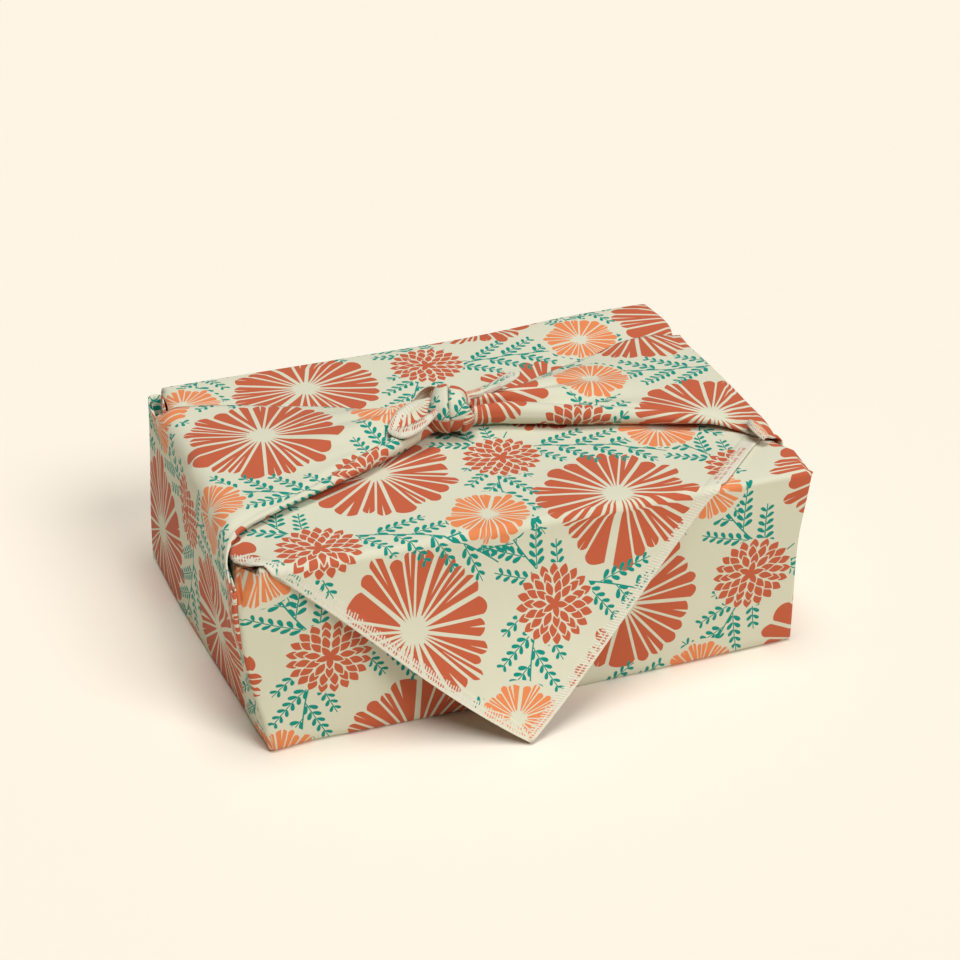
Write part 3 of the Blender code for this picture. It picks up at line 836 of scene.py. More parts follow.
# %% A tie and its turn over the end
TURN_STEP = 0.125
TIE_SLANT = 0.35  # share of the slant that is reached at the start of the turn
TURN_POWER = {-1: 1.0, 1: 0.55}  # less than 1 makes the turn over the end squarer than a round one
LOOP_SAG = 0.0100  # inside a loop the turn dips by this much, and lies this far in from the outer layer
LOOP_INSIDE = 0.0016
SAG_LAG = 0.004  # the dip begins this far behind the start of the loop, and grows over the next length
SAG_FADE = 0.012


def turn_spot(side, a, b, share, turn):
    """A place on the turn, a share of the way from the wall's place a to the tie's place b."""
    over = 1 - math.cos(share * math.pi / 2) ** TURN_POWER[side]
    up = math.sin(share * math.pi / 2) ** TURN_POWER[side]
    loop = loop_share(side, a[1], PLEAT_TOP)
    slant = lerp(TIE_SLANT, 1.0, min(1.0, share * (1 + 2 * loop)))
    y = lerp(a[1], b[1], slant)
    start = max(b[2] - turn, a[2])
    dip = loop * ease((y - LOOP_START[side] - SAG_LAG) / SAG_FADE)
    z = lerp(start, max(b[2], start), up) - LOOP_SAG * dip
    x = lerp(a[0], b[0], over) - side * LOOP_INSIDE * dip
    return spot(x, y, z, lerp(a[3], b[3], slant), lerp(a[4], b[4], slant), 1.0)


def add_tie(sheet, side, table, gathers):
    stations = smooth_curve(table, TIE_SECTIONS)
    sections = [tie_section(side, dict(zip(TIE_COLUMNS, row)), gathers) for row in stations]
    joined = sections[0][ON_TOP]
    outer = {face: pleat_row(side, face, PLEAT_TOP)[-2:-1] for face in (-1, 1)}
    fold = outer[-1] + end_row(side, PLEAT_TOP) + outer[1]
    turn = X_OUT - abs(table[0][0])
    rows = [fold]
    for share in spread(0.0, 1.0, TURN_STEP)[:-1]:
        rows.append([turn_spot(side, a, b, share, turn) for a, b in zip(fold, joined)])
    sheet.patch(rows + [joined])
    sheet.patch(sections)


add_tie(sheet, -1, LEFT_TIE, LEFT_GATHERS)
add_tie(sheet, 1, RIGHT_TIE, RIGHT_GATHERS)
print("with both ties:", len(sheet.faces), "faces and", len(sheet.spots), "points")

# %% [markdown]
# ## Soft folds
# Real cloth is never as even as a formula. A Displace modifier could add noise alone. Here creases are
# placed on the flat cloth, each a line with a width and a height, and every point near it moves
# along its own normal. Slow noise adds the rest. Because flat coordinates are used, a crease runs on
# over an edge, as it does in cloth.

# %% Creases
CREASES = (
    # p1, q1, p2, q2, width, height
    (-0.100, -0.120, -0.060, -0.190, 0.012, 0.0010),
    (0.020, -0.110, 0.050, -0.190, 0.014, -0.0008),
    (-0.060, 0.330, 0.060, 0.380, 0.016, 0.0010),
    (-0.120, 0.330, -0.040, 0.420, 0.014, -0.0008),
    (0.050, 0.340, 0.100, 0.300, 0.010, 0.0009),
    (-0.243, 0.012, -0.196, 0.036, 0.007, -0.0012),
    (-0.243, 0.000, -0.200, 0.026, 0.009, 0.0009),
    (-0.188, -0.028, -0.152, -0.094, 0.004, 0.0012),
    (-0.225, -0.070, -0.165, -0.075, 0.005, -0.0010),
)
NOISES = ((0.0006, 0.045, 3.0), (0.0003, 0.018, 8.0))  # height, size and seed


def crease_height(p, q):
    """How far each point stands out, from its flat coordinate."""
    height = np.zeros(len(p))
    for p1, q1, p2, q2, width, rise in CREASES:
        run = np.array((p2 - p1, q2 - q1))
        length = np.linalg.norm(run)
        along = ((p - p1) * run[0] + (q - q1) * run[1]) / length
        across = ((p - p1) * run[1] - (q - q1) * run[0]) / length
        fade = ease(along / width + 0.5) * ease((length - along) / width + 0.5)
        height += rise * fade * np.exp(-((across / width) ** 2))
    return height


def slow_noise(p, q, size, seed):
    return np.array([noise.noise(Vector((a / size, b / size, seed))) for a, b in zip(p, q)])


print(len(CREASES), "creases, up to", max(abs(crease[-1]) for crease in CREASES), "m high or deep")

# %% [markdown]
# Some forms belong to a place on the parcel and not to the flat cloth: a corner that is pulled out, a hem
# that lifts, a wall that leans. They are made as in sculpting, with a brush that moves every layer near a
# place along and fades with distance. The brush strokes are a table, so they can be changed one by one.

# %% Pushes
PUSHES = (
    # place, reach along x, y and z, then the move
    ((-0.140, 0.060, 0.005), (0.030, 0.100, 0.060), (-0.0045, 0.0, 0.0)),  # left end, foot
    ((-0.139, -0.0965, 0.072), (0.030, 0.050, 0.040), (-0.0060, 0.0, 0.0)),  # left end, front
    ((-0.132, -0.0965, 0.000), (0.014, 0.012, 0.026), (0.0, -0.0030, 0.0)),  # left front foot
    ((-0.1330, -0.0950, 0.1000), (0.0090, 0.0100, 0.0090), (0.0, 0.0, 0.0032)),  # hem over the pocket
    ((0.138, -0.0970, 0.015), (0.020, 0.0042, 0.090), (0.0041, 0.0, 0.0)),  # right front edge
    ((0.138, -0.0970, 0.094), (0.025, 0.014, 0.028), (0.0055, 0.0, -0.0008)),  # right front corner
    ((0.140, -0.0970, 0.0950), (0.010, 0.006, 0.006), (0.0010, 0.0, 0.0)),
    ((0.137, -0.0780, 0.0975), (0.018, 0.011, 0.012), (0.0036, 0.0, 0.0050)),
    ((0.139, -0.0200, 0.0960), (0.020, 0.080, 0.020), (0.0012, 0.0, 0.0006)),  # right top edge
    ((0.103, 0.0940, 0.0970), (0.048, 0.030, 0.030), (0.0, 0.0, 0.0038)),  # right back corner
    ((0.138, 0.0940, 0.0970), (0.020, 0.030, 0.030), (0.0028, 0.0, 0.0012)),
    ((0.138, 0.0710, 0.0975), (0.012, 0.014, 0.006), (0.0044, 0.0, 0.0)),
)


def pushed(places):
    moved = places.copy()
    for place, reach, move in PUSHES:
        near = np.exp(-(((places - place) / reach) ** 2).sum(axis=1))
        moved += near[:, None] * np.array(move)
    return moved


strongest = max(np.linalg.norm(move) for _, _, move in PUSHES)
print(len(PUSHES), "pushes, the strongest by", round(float(strongest), 4), "m")

# %% [markdown]
# ## From points to a mesh
# The faces are turned to face outwards first, because creases move points along their normals. A
# Solidify modifier gives the sheet its thickness at the end, so the folds stay a single layer to edit.

# %% The cloth's mesh
def face_outwards(mesh, outward):
    """Turns all faces the same way, and over if outward says that they face inwards."""
    work = bmesh.new()
    work.from_mesh(mesh)
    bmesh.ops.recalc_face_normals(work, faces=work.faces)
    if outward(work) < 0:
        bmesh.ops.reverse_faces(work, faces=work.faces)
    work.to_mesh(mesh)
    work.free()


def cloth_mesh(name, sheet, outward):
    """The sheet as a mesh, its faces turned to the outer side, with its creases and its flat UV map."""
    mesh = bpy.data.meshes.new(name)
    spots = np.array(sheet.spots)
    spots[:, :3] = pushed(spots[:, :3])
    mesh.from_pydata(spots[:, :3].tolist(), [], sheet.faces)
    face_outwards(mesh, outward)
    normals = np.zeros(len(spots) * 3)
    mesh.vertices.foreach_get("normal", normals)
    p, q, free = spots[:, 3], spots[:, 4], spots[:, 5]
    rise = crease_height(p, q)
    for height, size, seed in NOISES:
        rise = rise + height * slow_noise(p, q, size, seed)
    places = spots[:, :3] + normals.reshape(-1, 3) * (free * rise)[:, None]
    places[:, 2] = np.maximum(places[:, 2], Z_FLOOR)
    mesh.vertices.foreach_set("co", places.ravel())
    corners = np.zeros(len(mesh.loops), int)
    mesh.loops.foreach_get("vertex_index", corners)
    flat = mesh.uv_layers.new(name=FLAT_MAP)
    flat.data.foreach_set("uv", spots[corners, 3:5].ravel())
    mesh.shade_smooth()
    mesh.update()
    return mesh


def add_thickness(thing, thickness):
    solidify = thing.modifiers.new("Thickness", "SOLIDIFY")
    solidify.thickness = thickness
    solidify.offset = 0.0


def add_to_scene(name, mesh):
    thing = bpy.data.objects.new(name, mesh)
    bpy.context.scene.collection.objects.link(thing)
    return thing


def floor_faces_down(work):
    lowest = min(work.faces, key=lambda face: face.calc_center_median().z)
    return -lowest.normal.z


cloth = add_to_scene("wrapping_cloth", cloth_mesh("wrapping_cloth", sheet, floor_faces_down))
add_thickness(cloth, FABRIC)
print("the cloth has", len(cloth.data.polygons), "faces and spans", [round(v, 4) for v in cloth.dimensions])

# %% [markdown]
# ## The knot
# Seen from outside, the knot is a ball of broad turns of cloth side by side, with the two corners of the
# cloth coming out of it. It could be tied strand by strand along curves, but most of it would be hidden
# and would cut through itself. So each turn is a band swept round the ball: its outer side follows the
# ball's own outline, and its edges round over into the groove to the next turn.

# %% Turns of the knot
KNOT_AT = Vector((-0.0091, -0.0016, 0.1118))
KNOT_ACROSS = Vector((0.941, -0.337, 0.0))
KNOT_FRONT = Vector((-0.337, -0.941, 0.0))
KNOT_HALF = 0.0126
KNOT_DEEP = 0.0128
KNOT_HIGH = 0.0121
KNOT_FULLNESS = 2.5
KNOT_TAPER = 0.26  # how much narrower the knot is at its top
KNOT_TAPER_POWER = 1.5
TURN_EDGE = 0.0021
TURN_THICKNESS = 0.0040
TURN_STEPS = 27  # points across the outer side of a turn
TURN_RINGS = 96
TURN_LEAST = 0.002  # the least distance from the knot's middle, outside and as a share inside
TURN_LEAST_INSIDE = 0.08
TURN_FREEDOM = 0.6  # share of the creases and noise that a turn takes up
TURN_COLUMNS = ("name", "start", "end", "lean", "shift", "inset", "drop", "flat_p", "flat_q")
KNOT_TURNS = (
    ("knot_left_turn", -0.0124, 0.0001, 0.00, -0.0010, 0.0000, 0.0000, 0.3686, -0.0410),
    ("knot_middle_turn", -0.0003, 0.0112, -0.02, -0.0004, 0.0009, 0.0000, 0.3760, -0.0410),
    ("knot_right_turn", 0.0052, 0.0126, 0.10, 0.0010, 0.0008, 0.0028, 0.3500, 0.0100),
)


def turn_section(start, end, inset):
    """A turn cut across: place across the knot and share of the knot's own radius, outer side then inner."""
    section = []
    for step in np.linspace(0, math.pi, TURN_STEPS):
        across = lerp(start, end, (1 - math.cos(step)) / 2)
        outline = 1 - min(1.0, abs(across) / KNOT_HALF) ** KNOT_FULLNESS
        ball = KNOT_DEEP * outline ** (1 / KNOT_FULLNESS)
        from_edge = min(across - start, end - across, TURN_EDGE) / TURN_EDGE
        fallen = TURN_EDGE * (1 - math.sqrt(1 - (1 - from_edge) ** 2)) + inset
        section.append((across, max(ball - fallen, TURN_LEAST) / KNOT_DEEP))
    inner = []
    for across, share in section[-3:1:-4]:  # every fourth point, on the way back
        inner.append((across, max(share - TURN_THICKNESS / KNOT_DEEP, TURN_LEAST_INSIDE)))
    return section + inner + section[:1]


def add_turn(sheet, turn):
    section = turn_section(turn["start"], turn["end"], turn["inset"])
    rings = []
    for a in spread(0.0, 2 * math.pi, 2 * math.pi / TURN_RINGS):
        ring = []
        taper = 1 - KNOT_TAPER * max(0.0, math.sin(a)) ** KNOT_TAPER_POWER
        for across, share in section:
            forward = KNOT_DEEP * share * math.cos(a)
            aside = across * taper + turn["lean"] * forward + turn["shift"] * math.sin(a) * share
            place = KNOT_AT + KNOT_ACROSS * aside + KNOT_FRONT * forward
            place.z += KNOT_HIGH * share * math.sin(a) - turn["drop"]
            flat = (turn["flat_p"] + across, turn["flat_q"] + KNOT_DEEP * a)
            ring.append(spot(*place, *flat, TURN_FREEDOM))
        rings.append(ring)
    sheet.patch(rings)


def one_piece(name, fill, outward):
    sheet = Sheet()
    fill(sheet)
    return add_to_scene(name, cloth_mesh(name, sheet, outward))


def closed_outward(work):
    return work.calc_volume(signed=True)


knot_turns = []
for row in KNOT_TURNS:
    turn = dict(zip(TURN_COLUMNS, row))
    knot_turns.append(one_piece(turn["name"], lambda sheet: add_turn(sheet, turn), closed_outward))
print("the knot's ball:", [turn.name for turn in knot_turns])

# %% [markdown]
# A tail is the very corner of the square, and both its hems start at the tip. A plane could be pulled into
# shape, but its hems would be hard to hold. So the tail is a sheet spanned between two hem lines, with a
# wave across it, since cloth that comes out of a knot is always a little pleated.

# %% Tails of the knot
TAIL_COLUMNS = ("upper x", "upper y", "upper z", "lower x", "lower y", "lower z", "wave", "arch")
LEFT_TAIL = (
    (-0.0436, -0.0086, 0.1095, -0.0438, -0.0094, 0.1094, 0.0000, 0.0000),
    (-0.0402, -0.0031, 0.1108, -0.0430, -0.0146, 0.1092, 0.0006, 0.0004),
    (-0.0358, 0.0025, 0.1120, -0.0398, -0.0188, 0.1094, 0.0013, 0.0004),
    (-0.0310, 0.0050, 0.1134, -0.0349, -0.0194, 0.1102, 0.0018, 0.0002),
    (-0.0254, 0.0055, 0.1150, -0.0295, -0.0184, 0.1118, 0.0021, 0.0000),
    (-0.0206, 0.0036, 0.1162, -0.0240, -0.0152, 0.1134, 0.0019, 0.0002),
    (-0.0162, 0.0018, 0.1168, -0.0187, -0.0104, 0.1145, 0.0012, 0.0006),
    (-0.0128, -0.0004, 0.1166, -0.0128, -0.0063, 0.1152, 0.0003, 0.0008),
)
RIGHT_TAIL = (
    (0.0384, 0.0259, 0.1105, 0.0373, 0.0231, 0.1103, 0.0000, 0.0000),
    (0.0357, 0.0261, 0.1117, 0.0327, 0.0181, 0.1108, 0.0002, 0.0006),
    (0.0283, 0.0208, 0.1130, 0.0280, 0.0142, 0.1114, 0.0003, 0.0010),
    (0.0199, 0.0141, 0.1138, 0.0208, 0.0092, 0.1120, 0.0004, 0.0012),
    (0.0132, 0.0091, 0.1145, 0.0140, 0.0053, 0.1126, 0.0004, 0.0012),
    (0.0063, 0.0061, 0.1150, 0.0060, 0.0023, 0.1132, 0.0003, 0.0012),
    (0.0004, 0.0059, 0.1150, -0.0012, 0.0013, 0.1132, 0.0002, 0.0010),
)
TAIL_ROWS = 36
TAIL_POINTS = 21
TAIL_WAVES = 3  # half waves from hem to hem
ARCH_POWER = 0.75  # less than 1 rounds the hems over more quickly


def add_tail(sheet, side, table):
    places = smooth_curve(table, TAIL_ROWS)
    steps = [np.linalg.norm(np.diff(hem, axis=0), axis=1) for hem in (places[:, :3], places[:, 3:6])]
    along_hem = np.concatenate([[0], np.cumsum((steps[0] + steps[1]) / 2)])
    tip = CLOTH_CENTRE[0] + side * HALF_DIAGONAL
    rows = []
    for station, run in zip(places, along_hem / math.sqrt(2)):
        row = dict(zip(TAIL_COLUMNS, station))
        points = []
        for share in np.linspace(0, 1, TAIL_POINTS):
            place = lerp(station[:3], station[3:6], share)
            rounded = math.sin(math.pi * share) ** ARCH_POWER
            place[2] += row["wave"] * math.sin(TAIL_WAVES * math.pi * share) + row["arch"] * rounded
            points.append(spot(*place, tip - side * run, CLOTH_CENTRE[1] + (1 - 2 * share) * run, 0.0))
        rows.append(points)
    sheet.patch(rows)


def mostly_up(work):
    return sum(face.normal.z * face.calc_area() for face in work.faces)


left_tail = one_piece("left_tail", lambda sheet: add_tail(sheet, -1, LEFT_TAIL), mostly_up)
right_tail = one_piece("right_tail", lambda sheet: add_tail(sheet, 1, RIGHT_TAIL), mostly_up)
print("the tails span", [round(max(tail.dimensions), 4) for tail in (left_tail, right_tail)], "m")

# %% [markdown]
# Two short strips of hem show beside the tie and the knot. They belong to cloth that is otherwise hidden,
# so only the strip is made. Each is spanned like a tail: from its rim, which is the hem itself, to its
# foot, with a bulge between them.

# %% Two short strips of hem
STRIP_WIDTH = 0.010
STRIP_LENGTH = 0.020
STRIP_ROWS = 20
STRIP_POINTS = 11
# A short loop of the left hem stands up behind the knot.
TUCK = (
    # rim x, y, z, then foot x, y, z
    (-0.0235, 0.0135, 0.1110, -0.0225, 0.0150, 0.1080),
    (-0.0195, 0.0151, 0.1145, -0.0165, 0.0175, 0.1090),
    (-0.0162, 0.0152, 0.1165, -0.0123, 0.0170, 0.1100),
    (-0.0133, 0.0130, 0.1180, -0.0085, 0.0140, 0.1110),
    (-0.0095, 0.0085, 0.1185, -0.0060, 0.0090, 0.1120),
)
TUCK_BULGE = (0, 0.002, 0)
TUCK_FROM = 0.060  # along the hem from the cloth's left corner
# Beside the right tie's front edge, the back flap's hem comes out from below and curls over the edge.
CURL = (
    (0.1275, -0.0545, 0.1035, 0.1305, -0.0510, 0.1040),
    (0.1262, -0.0595, 0.1046, 0.1318, -0.0565, 0.1050),
    (0.1264, -0.0650, 0.1035, 0.1320, -0.0625, 0.1042),
    (0.1274, -0.0700, 0.1005, 0.1316, -0.0690, 0.1008),
)
CURL_BULGE = (0, -0.0004, 0.0014)
CURL_FROM = 0.186  # flat coordinate p at which it starts


def add_strip(sheet, table, bulge, start, along, inward):
    """A strip from a hem. Its rim runs from start along the flat cloth, and inward leads off the hem."""
    bulge = np.array(bulge)
    along = np.array(along) / math.sqrt(2)
    inward = np.array(inward) / math.sqrt(2)
    runs = spread(0.0, STRIP_LENGTH, STRIP_LENGTH / (STRIP_ROWS - 1))
    rows = []
    for row, run in zip(smooth_curve(table, STRIP_ROWS), runs):
        points = []
        for share in np.linspace(0, 1, STRIP_POINTS):
            place = lerp(row[:3], row[3:6], share) + bulge * math.sin(math.pi * share)
            flat = start + along * run + inward * share * STRIP_WIDTH
            points.append(spot(*place, *flat, 0.0))
        rows.append(points)
    sheet.patch(rows)


def add_tuck(sheet):
    start = np.array((CLOTH_CENTRE[0] - HALF_DIAGONAL, CLOTH_CENTRE[1])) + TUCK_FROM / math.sqrt(2)
    add_strip(sheet, TUCK, TUCK_BULGE, start, (1, 1), (1, -1))


def add_curl(sheet):
    start = np.array((CURL_FROM, CLOTH_CENTRE[1] + HALF_DIAGONAL - (CURL_FROM - CLOTH_CENTRE[0])))
    add_strip(sheet, CURL, CURL_BULGE, start, (1, -1), (-1, -1))


left_tuck = one_piece("left_tuck", add_tuck, mostly_up)
hem_curl = one_piece("hem_curl", add_curl, mostly_up)
loose_ends = [left_tail, right_tail, left_tuck, hem_curl]
for end in loose_ends:
    add_thickness(end, FABRIC)
knot_pieces = knot_turns + loose_ends
print("the knot is made of", len(knot_pieces), "pieces")


# %% [markdown]
# ## Wiring node groups
# Printed flowers could be painted as an image, but only a very large one would be sharp up close. Here
# shader nodes draw them from the flat coordinate. It takes many small sums, and by hand each is a Math
# node with its links. This helper gives the common ones a short method that makes the node, and a group
# gets its named sockets in one call.

# %% A helper for node trees
class Wiring:
    """Adds nodes to one tree and links values or numbers to their sockets."""

    def __init__(self, tree):
        self.tree = tree

    def set(self, socket, value):
        if isinstance(value, bpy.types.NodeSocket):
            self.tree.links.new(value, socket)
        else:
            socket.default_value = value

    def math(self, operation, *values):
        node = self.tree.nodes.new("ShaderNodeMath")
        node.operation = operation
        for socket, value in zip(node.inputs, values):
            self.set(socket, value)
        return node.outputs[0]

    def plus(self, a, b):
        return self.math("ADD", a, b)

    def minus(self, a, b):
        return self.math("SUBTRACT", a, b)

    def times(self, a, b):
        return self.math("MULTIPLY", a, b)

    def over(self, a, b):
        return self.math("DIVIDE", a, b)

    def times_plus(self, value, factor, added):
        return self.math("MULTIPLY_ADD", value, factor, added)

    def size(self, value):
        return self.math("ABSOLUTE", value)

    def above(self, value, limit):
        return self.math("GREATER_THAN", value, limit)

    def below(self, value, limit):
        return self.math("LESS_THAN", value, limit)

    def past_middle(self, number):
        """How far number lies past the middle of its own cell, from -0.5 to 0.5 cells."""
        return self.minus(self.math("FRACT", number), 0.5)

    def distance(self, x, y):
        return self.math("SQRT", self.plus(self.times(x, x), self.times(y, y)))

    def turn(self, x, y):
        """The direction of a place, as a share of a whole turn."""
        return self.over(self.math("ARCTAN2", y, x), 2 * math.pi)

    def mix(self, share, a, b):
        node = self.tree.nodes.new("ShaderNodeMix")
        node.data_type = "RGBA"
        self.set(node.inputs["Factor"], share)
        self.set(node.inputs[6], a)
        self.set(node.inputs[7], b)
        return node.outputs[2]

    def split(self, vector):
        node = self.tree.nodes.new("ShaderNodeSeparateXYZ")
        self.set(node.inputs[0], vector)
        return node.outputs

    def join(self, x, y, z):
        node = self.tree.nodes.new("ShaderNodeCombineXYZ")
        for socket, value in zip(node.inputs, (x, y, z)):
            self.set(socket, value)
        return node.outputs[0]

    def random(self, x, y, z):
        """Three even random numbers that belong to the place x, y, z."""
        node = self.tree.nodes.new("ShaderNodeTexWhiteNoise")
        self.set(node.inputs["Vector"], self.join(x, y, z))
        return self.split(node.outputs["Color"])

    def noise(self, vector, scale, detail):
        node = self.tree.nodes.new("ShaderNodeTexNoise")
        self.set(node.inputs["Vector"], vector)
        self.set(node.inputs["Scale"], scale)
        self.set(node.inputs["Detail"], detail)
        return node.outputs[0]

    def group(self, name, **values):
        node = self.tree.nodes.new("ShaderNodeGroup")
        node.node_tree = bpy.data.node_groups[name]
        for label, value in values.items():
            self.set(node.inputs[label], value)
        return node.outputs

    def edge(self, distance, softness=0.00012):
        """1 inside a shape and 0 outside it, from the distance to its edge."""
        ratio = self.over(distance, softness)
        node = self.tree.nodes.new("ShaderNodeClamp")
        self.set(node.inputs[0], self.plus(ratio, 0.5))
        return node.outputs[0]

    def least(self, *values):
        found = values[0]
        for value in values[1:]:
            found = self.math("MINIMUM", found, value)
        return found


SOCKETS = {float: "NodeSocketFloat", tuple: "NodeSocketVector", list: "NodeSocketColor"}


def new_group(name, inputs, outputs):
    """A group with named inputs and outputs: a float, a tuple for a vector, or a list for a colour."""
    tree = bpy.data.node_groups.new(name, "ShaderNodeTree")
    for label, value in inputs.items():
        socket = tree.interface.new_socket(label, in_out="INPUT", socket_type=SOCKETS[type(value)])
        socket.default_value = value
    for label, kind in outputs.items():
        tree.interface.new_socket(label, in_out="OUTPUT", socket_type=SOCKETS[kind])
    start = tree.nodes.new("NodeGroupInput").outputs
    end = tree.nodes.new("NodeGroupOutput").inputs
    return Wiring(tree), start, end


print("kinds of socket:", sorted(SOCKETS.values()))

# %% [markdown]
# ## Motifs of the print
# Each motif is a group that takes a place beside its own middle and gives a mask. A bloom works in polar
# coordinates: the angle says which petal it is and how far off the petal's middle line, and the radius
# says how far out. White noise keyed by the petal's number makes every petal a little different.

# %% Bloom with rounded petals
PETAL_WAVES = ((3, 0.010), (5, 0.007), (9, 0.005))  # they make petals uneven: waves round, size in turns
WAVE_SEED = 20.0
PETAL_SHORTER = 0.17  # at most, as a share of the radius
HEART_WIDER = 0.9  # at most, as a share of the heart
SLIT_FROM = 0.4  # most petals are slit from here outwards, as a share of the radius, or up to so much later
SLIT_LATER = 0.45
SLIT_SPREAD = 0.9
SLIT_WIDTH = 1.6  # in gaps
WHOLE_PETALS = 0.45  # the share of petals that aren't slit


def build_bloom():
    w, given, out = new_group(
        "Bloom", {"X": 0.0, "Y": 0.0, "Radius": 0.04, "Petals": 22.0, "Gap": 0.0014, "Heart": 0.008,
                  "Seed": 0.0}, {"Mask": float, "Disc": float})
    radius, petals, gap, seed = given["Radius"], given["Petals"], given["Gap"], given["Seed"]
    r = w.distance(given["X"], given["Y"])
    turn = w.turn(given["X"], given["Y"])
    uneven = turn
    for waves, size in PETAL_WAVES:
        phase = w.times_plus(turn, 2 * math.pi * waves, w.times(seed, WAVE_SEED * waves))
        uneven = w.plus(uneven, w.times(w.math("SINE", phase), size))
    number = w.times(uneven, petals)
    petal = w.math("FLOORED_MODULO", w.math("FLOOR", number), petals)
    off = w.size(w.past_middle(number))
    chance = w.random(petal, seed, 1.0)
    half = w.over(w.times(r, math.pi), petals)
    side = w.times(w.times(off, half), 2.0)
    room = w.minus(half, w.times(gap, 0.5))
    reach = w.times(radius, w.times_plus(chance[0], -PETAL_SHORTER, 1.0))
    cap = w.minus(w.over(w.times(reach, math.pi), petals), w.times(gap, 0.5))
    arch = w.math("SQRT", w.math("MAXIMUM", w.minus(w.times(cap, cap), w.times(side, side)), 0.0))
    outer = w.minus(w.plus(w.minus(reach, cap), arch), r)
    inner = w.minus(r, w.times(given["Heart"], w.times_plus(chance[1], HEART_WIDER, 1.0)))
    opens = w.times(radius, w.times_plus(chance[2], SLIT_LATER, SLIT_FROM))
    widening = w.over(w.minus(r, opens), w.times(radius, SLIT_SPREAD))
    slit = w.times(w.math("MAXIMUM", widening, 0.0), w.times(gap, SLIT_WIDTH))
    whole = w.below(chance[1], WHOLE_PETALS)
    clear = w.plus(w.minus(side, slit), w.plus(whole, w.below(widening, 0.0)))
    w.set(out["Mask"], w.edge(w.least(w.minus(room, side), outer, inner, clear)))
    w.set(out["Disc"], w.edge(w.minus(radius, r)))


build_bloom()
print("Bloom takes", len(bpy.data.node_groups["Bloom"].nodes), "nodes")

# %% [markdown]
# The dahlia's petals are pointed and stand in rings. A ring's petals lie over those of the ring outside
# it, so the rings are drawn from the outside in, and each one clears a narrow gap round itself.

# %% Bloom with rings of pointed petals
# A row for each ring, outer ring first: its middle and half its width as shares of the radius, and petals.
DAHLIA_RINGS = ((0.83, 0.17, 20), (0.62, 0.19, 16), (0.40, 0.19, 11), (0.17, 0.17, 5))
RING_OFFSET = 0.37  # in turns, to keep the petals of the rings out of line
PETAL_POINT = 1.8  # less than 2 makes a petal's ends more pointed
PETAL_CLEARS = 0.7  # in gaps


def build_dahlia():
    w, given, out = new_group("Dahlia", {"X": 0.0, "Y": 0.0, "Radius": 0.019, "Gap": 0.0009, "Seed": 0.0},
                              {"Mask": float, "Disc": float})
    radius, gap = given["Radius"], given["Gap"]
    r = w.distance(given["X"], given["Y"])
    turn = w.turn(given["X"], given["Y"])
    best = -1.0  # distance inside the nearest petal
    for place, half_length, petals in DAHLIA_RINGS:
        number = w.times_plus(turn, float(petals), RING_OFFSET * petals)
        off = w.size(w.past_middle(number))
        side = w.times(w.times(off, r), 2 * math.pi / petals)
        along = w.over(w.size(w.minus(w.over(r, radius), place)), half_length)
        most = w.minus(w.times(radius, math.pi * place / petals), w.times(gap, 0.5))
        width = w.times(most, w.minus(1.0, w.math("POWER", along, PETAL_POINT)))
        inside = w.minus(width, side)
        beside = w.minus(w.times(gap, -PETAL_CLEARS), inside)
        best = w.math("MAXIMUM", inside, w.math("MINIMUM", best, beside))
    w.set(out["Mask"], w.edge(best))
    w.set(out["Disc"], w.edge(w.minus(radius, r)))


build_dahlia()
print("Dahlia takes", len(bpy.data.node_groups["Dahlia"].nodes), "nodes")

# %% [markdown]
# A sprig is leaves on branches on a stem. Skewing the coordinates turns a row of slanted leaves into a
# row of upright cells, so one leaf drawn in a cell repeats along the stem. The same trick, used a second
# time on the branches, makes the whole sprig from a single leaf.

# %% A stem with leaves
LEAF_SLANT = math.radians(42)
LEAF_SHIFT = 0.12  # the leaves of one side stand a little further along, in cells
LEAF_SHRINKS = 0.35  # share of a leaf's size that is lost by the end of the stem
LEAF_MIDDLE = 0.62  # share of the leaf's length
LEAF_WIDTH = (0.06, 0.23)  # how much wider a leaf gets along its length, and its middle width
LEAF_EDGE = 0.25
LEAVES_FROM = 0.3  # in pitches
LEAVES_STOP = 0.001  # short of the stem's end
STEM_HALF = 0.00026


def build_leafy_stem():
    w, given, out = new_group(
        "Leafy stem", {"Along": 0.0, "Across": 0.0, "Length": 0.030, "Pitch": 0.0042, "Leaf": 0.0052},
        {"Mask": float})
    along, length, pitch = given["Along"], given["Length"], given["Pitch"]
    off = w.size(given["Across"])
    side = w.above(given["Across"], 0.0)
    skewed = w.minus(along, w.times(off, 1 / math.tan(LEAF_SLANT)))
    number = w.plus(w.over(skewed, pitch), w.times(side, LEAF_SHIFT))
    from_foot = w.times(w.past_middle(number), pitch)
    beside = w.times(from_foot, math.sin(LEAF_SLANT))
    up_leaf = w.times_plus(from_foot, math.cos(LEAF_SLANT), w.over(off, math.sin(LEAF_SLANT)))
    leaf = w.times(given["Leaf"], w.minus(1.0, w.times(w.over(along, length), LEAF_SHRINKS)))
    from_middle = w.over(w.minus(up_leaf, w.times(leaf, LEAF_MIDDLE)), w.times(leaf, 0.5))
    across_leaf = w.over(beside, w.times(leaf, w.times_plus(from_middle, *LEAF_WIDTH)))
    blade = w.times(w.minus(1.0, w.distance(from_middle, across_leaf)), w.times(leaf, LEAF_EDGE))
    half_cell = w.times_plus(side, -LEAF_SHIFT, 0.5)
    foot = w.times(w.plus(w.math("FLOOR", number), half_cell), pitch)
    started = w.above(foot, w.times(pitch, LEAVES_FROM))
    within = w.times(started, w.below(foot, w.minus(length, LEAVES_STOP)))
    stem = w.least(w.minus(STEM_HALF, off), along, w.minus(length, along))
    w.set(out["Mask"], w.math("MAXIMUM", w.times(w.edge(blade), within), w.edge(stem)))


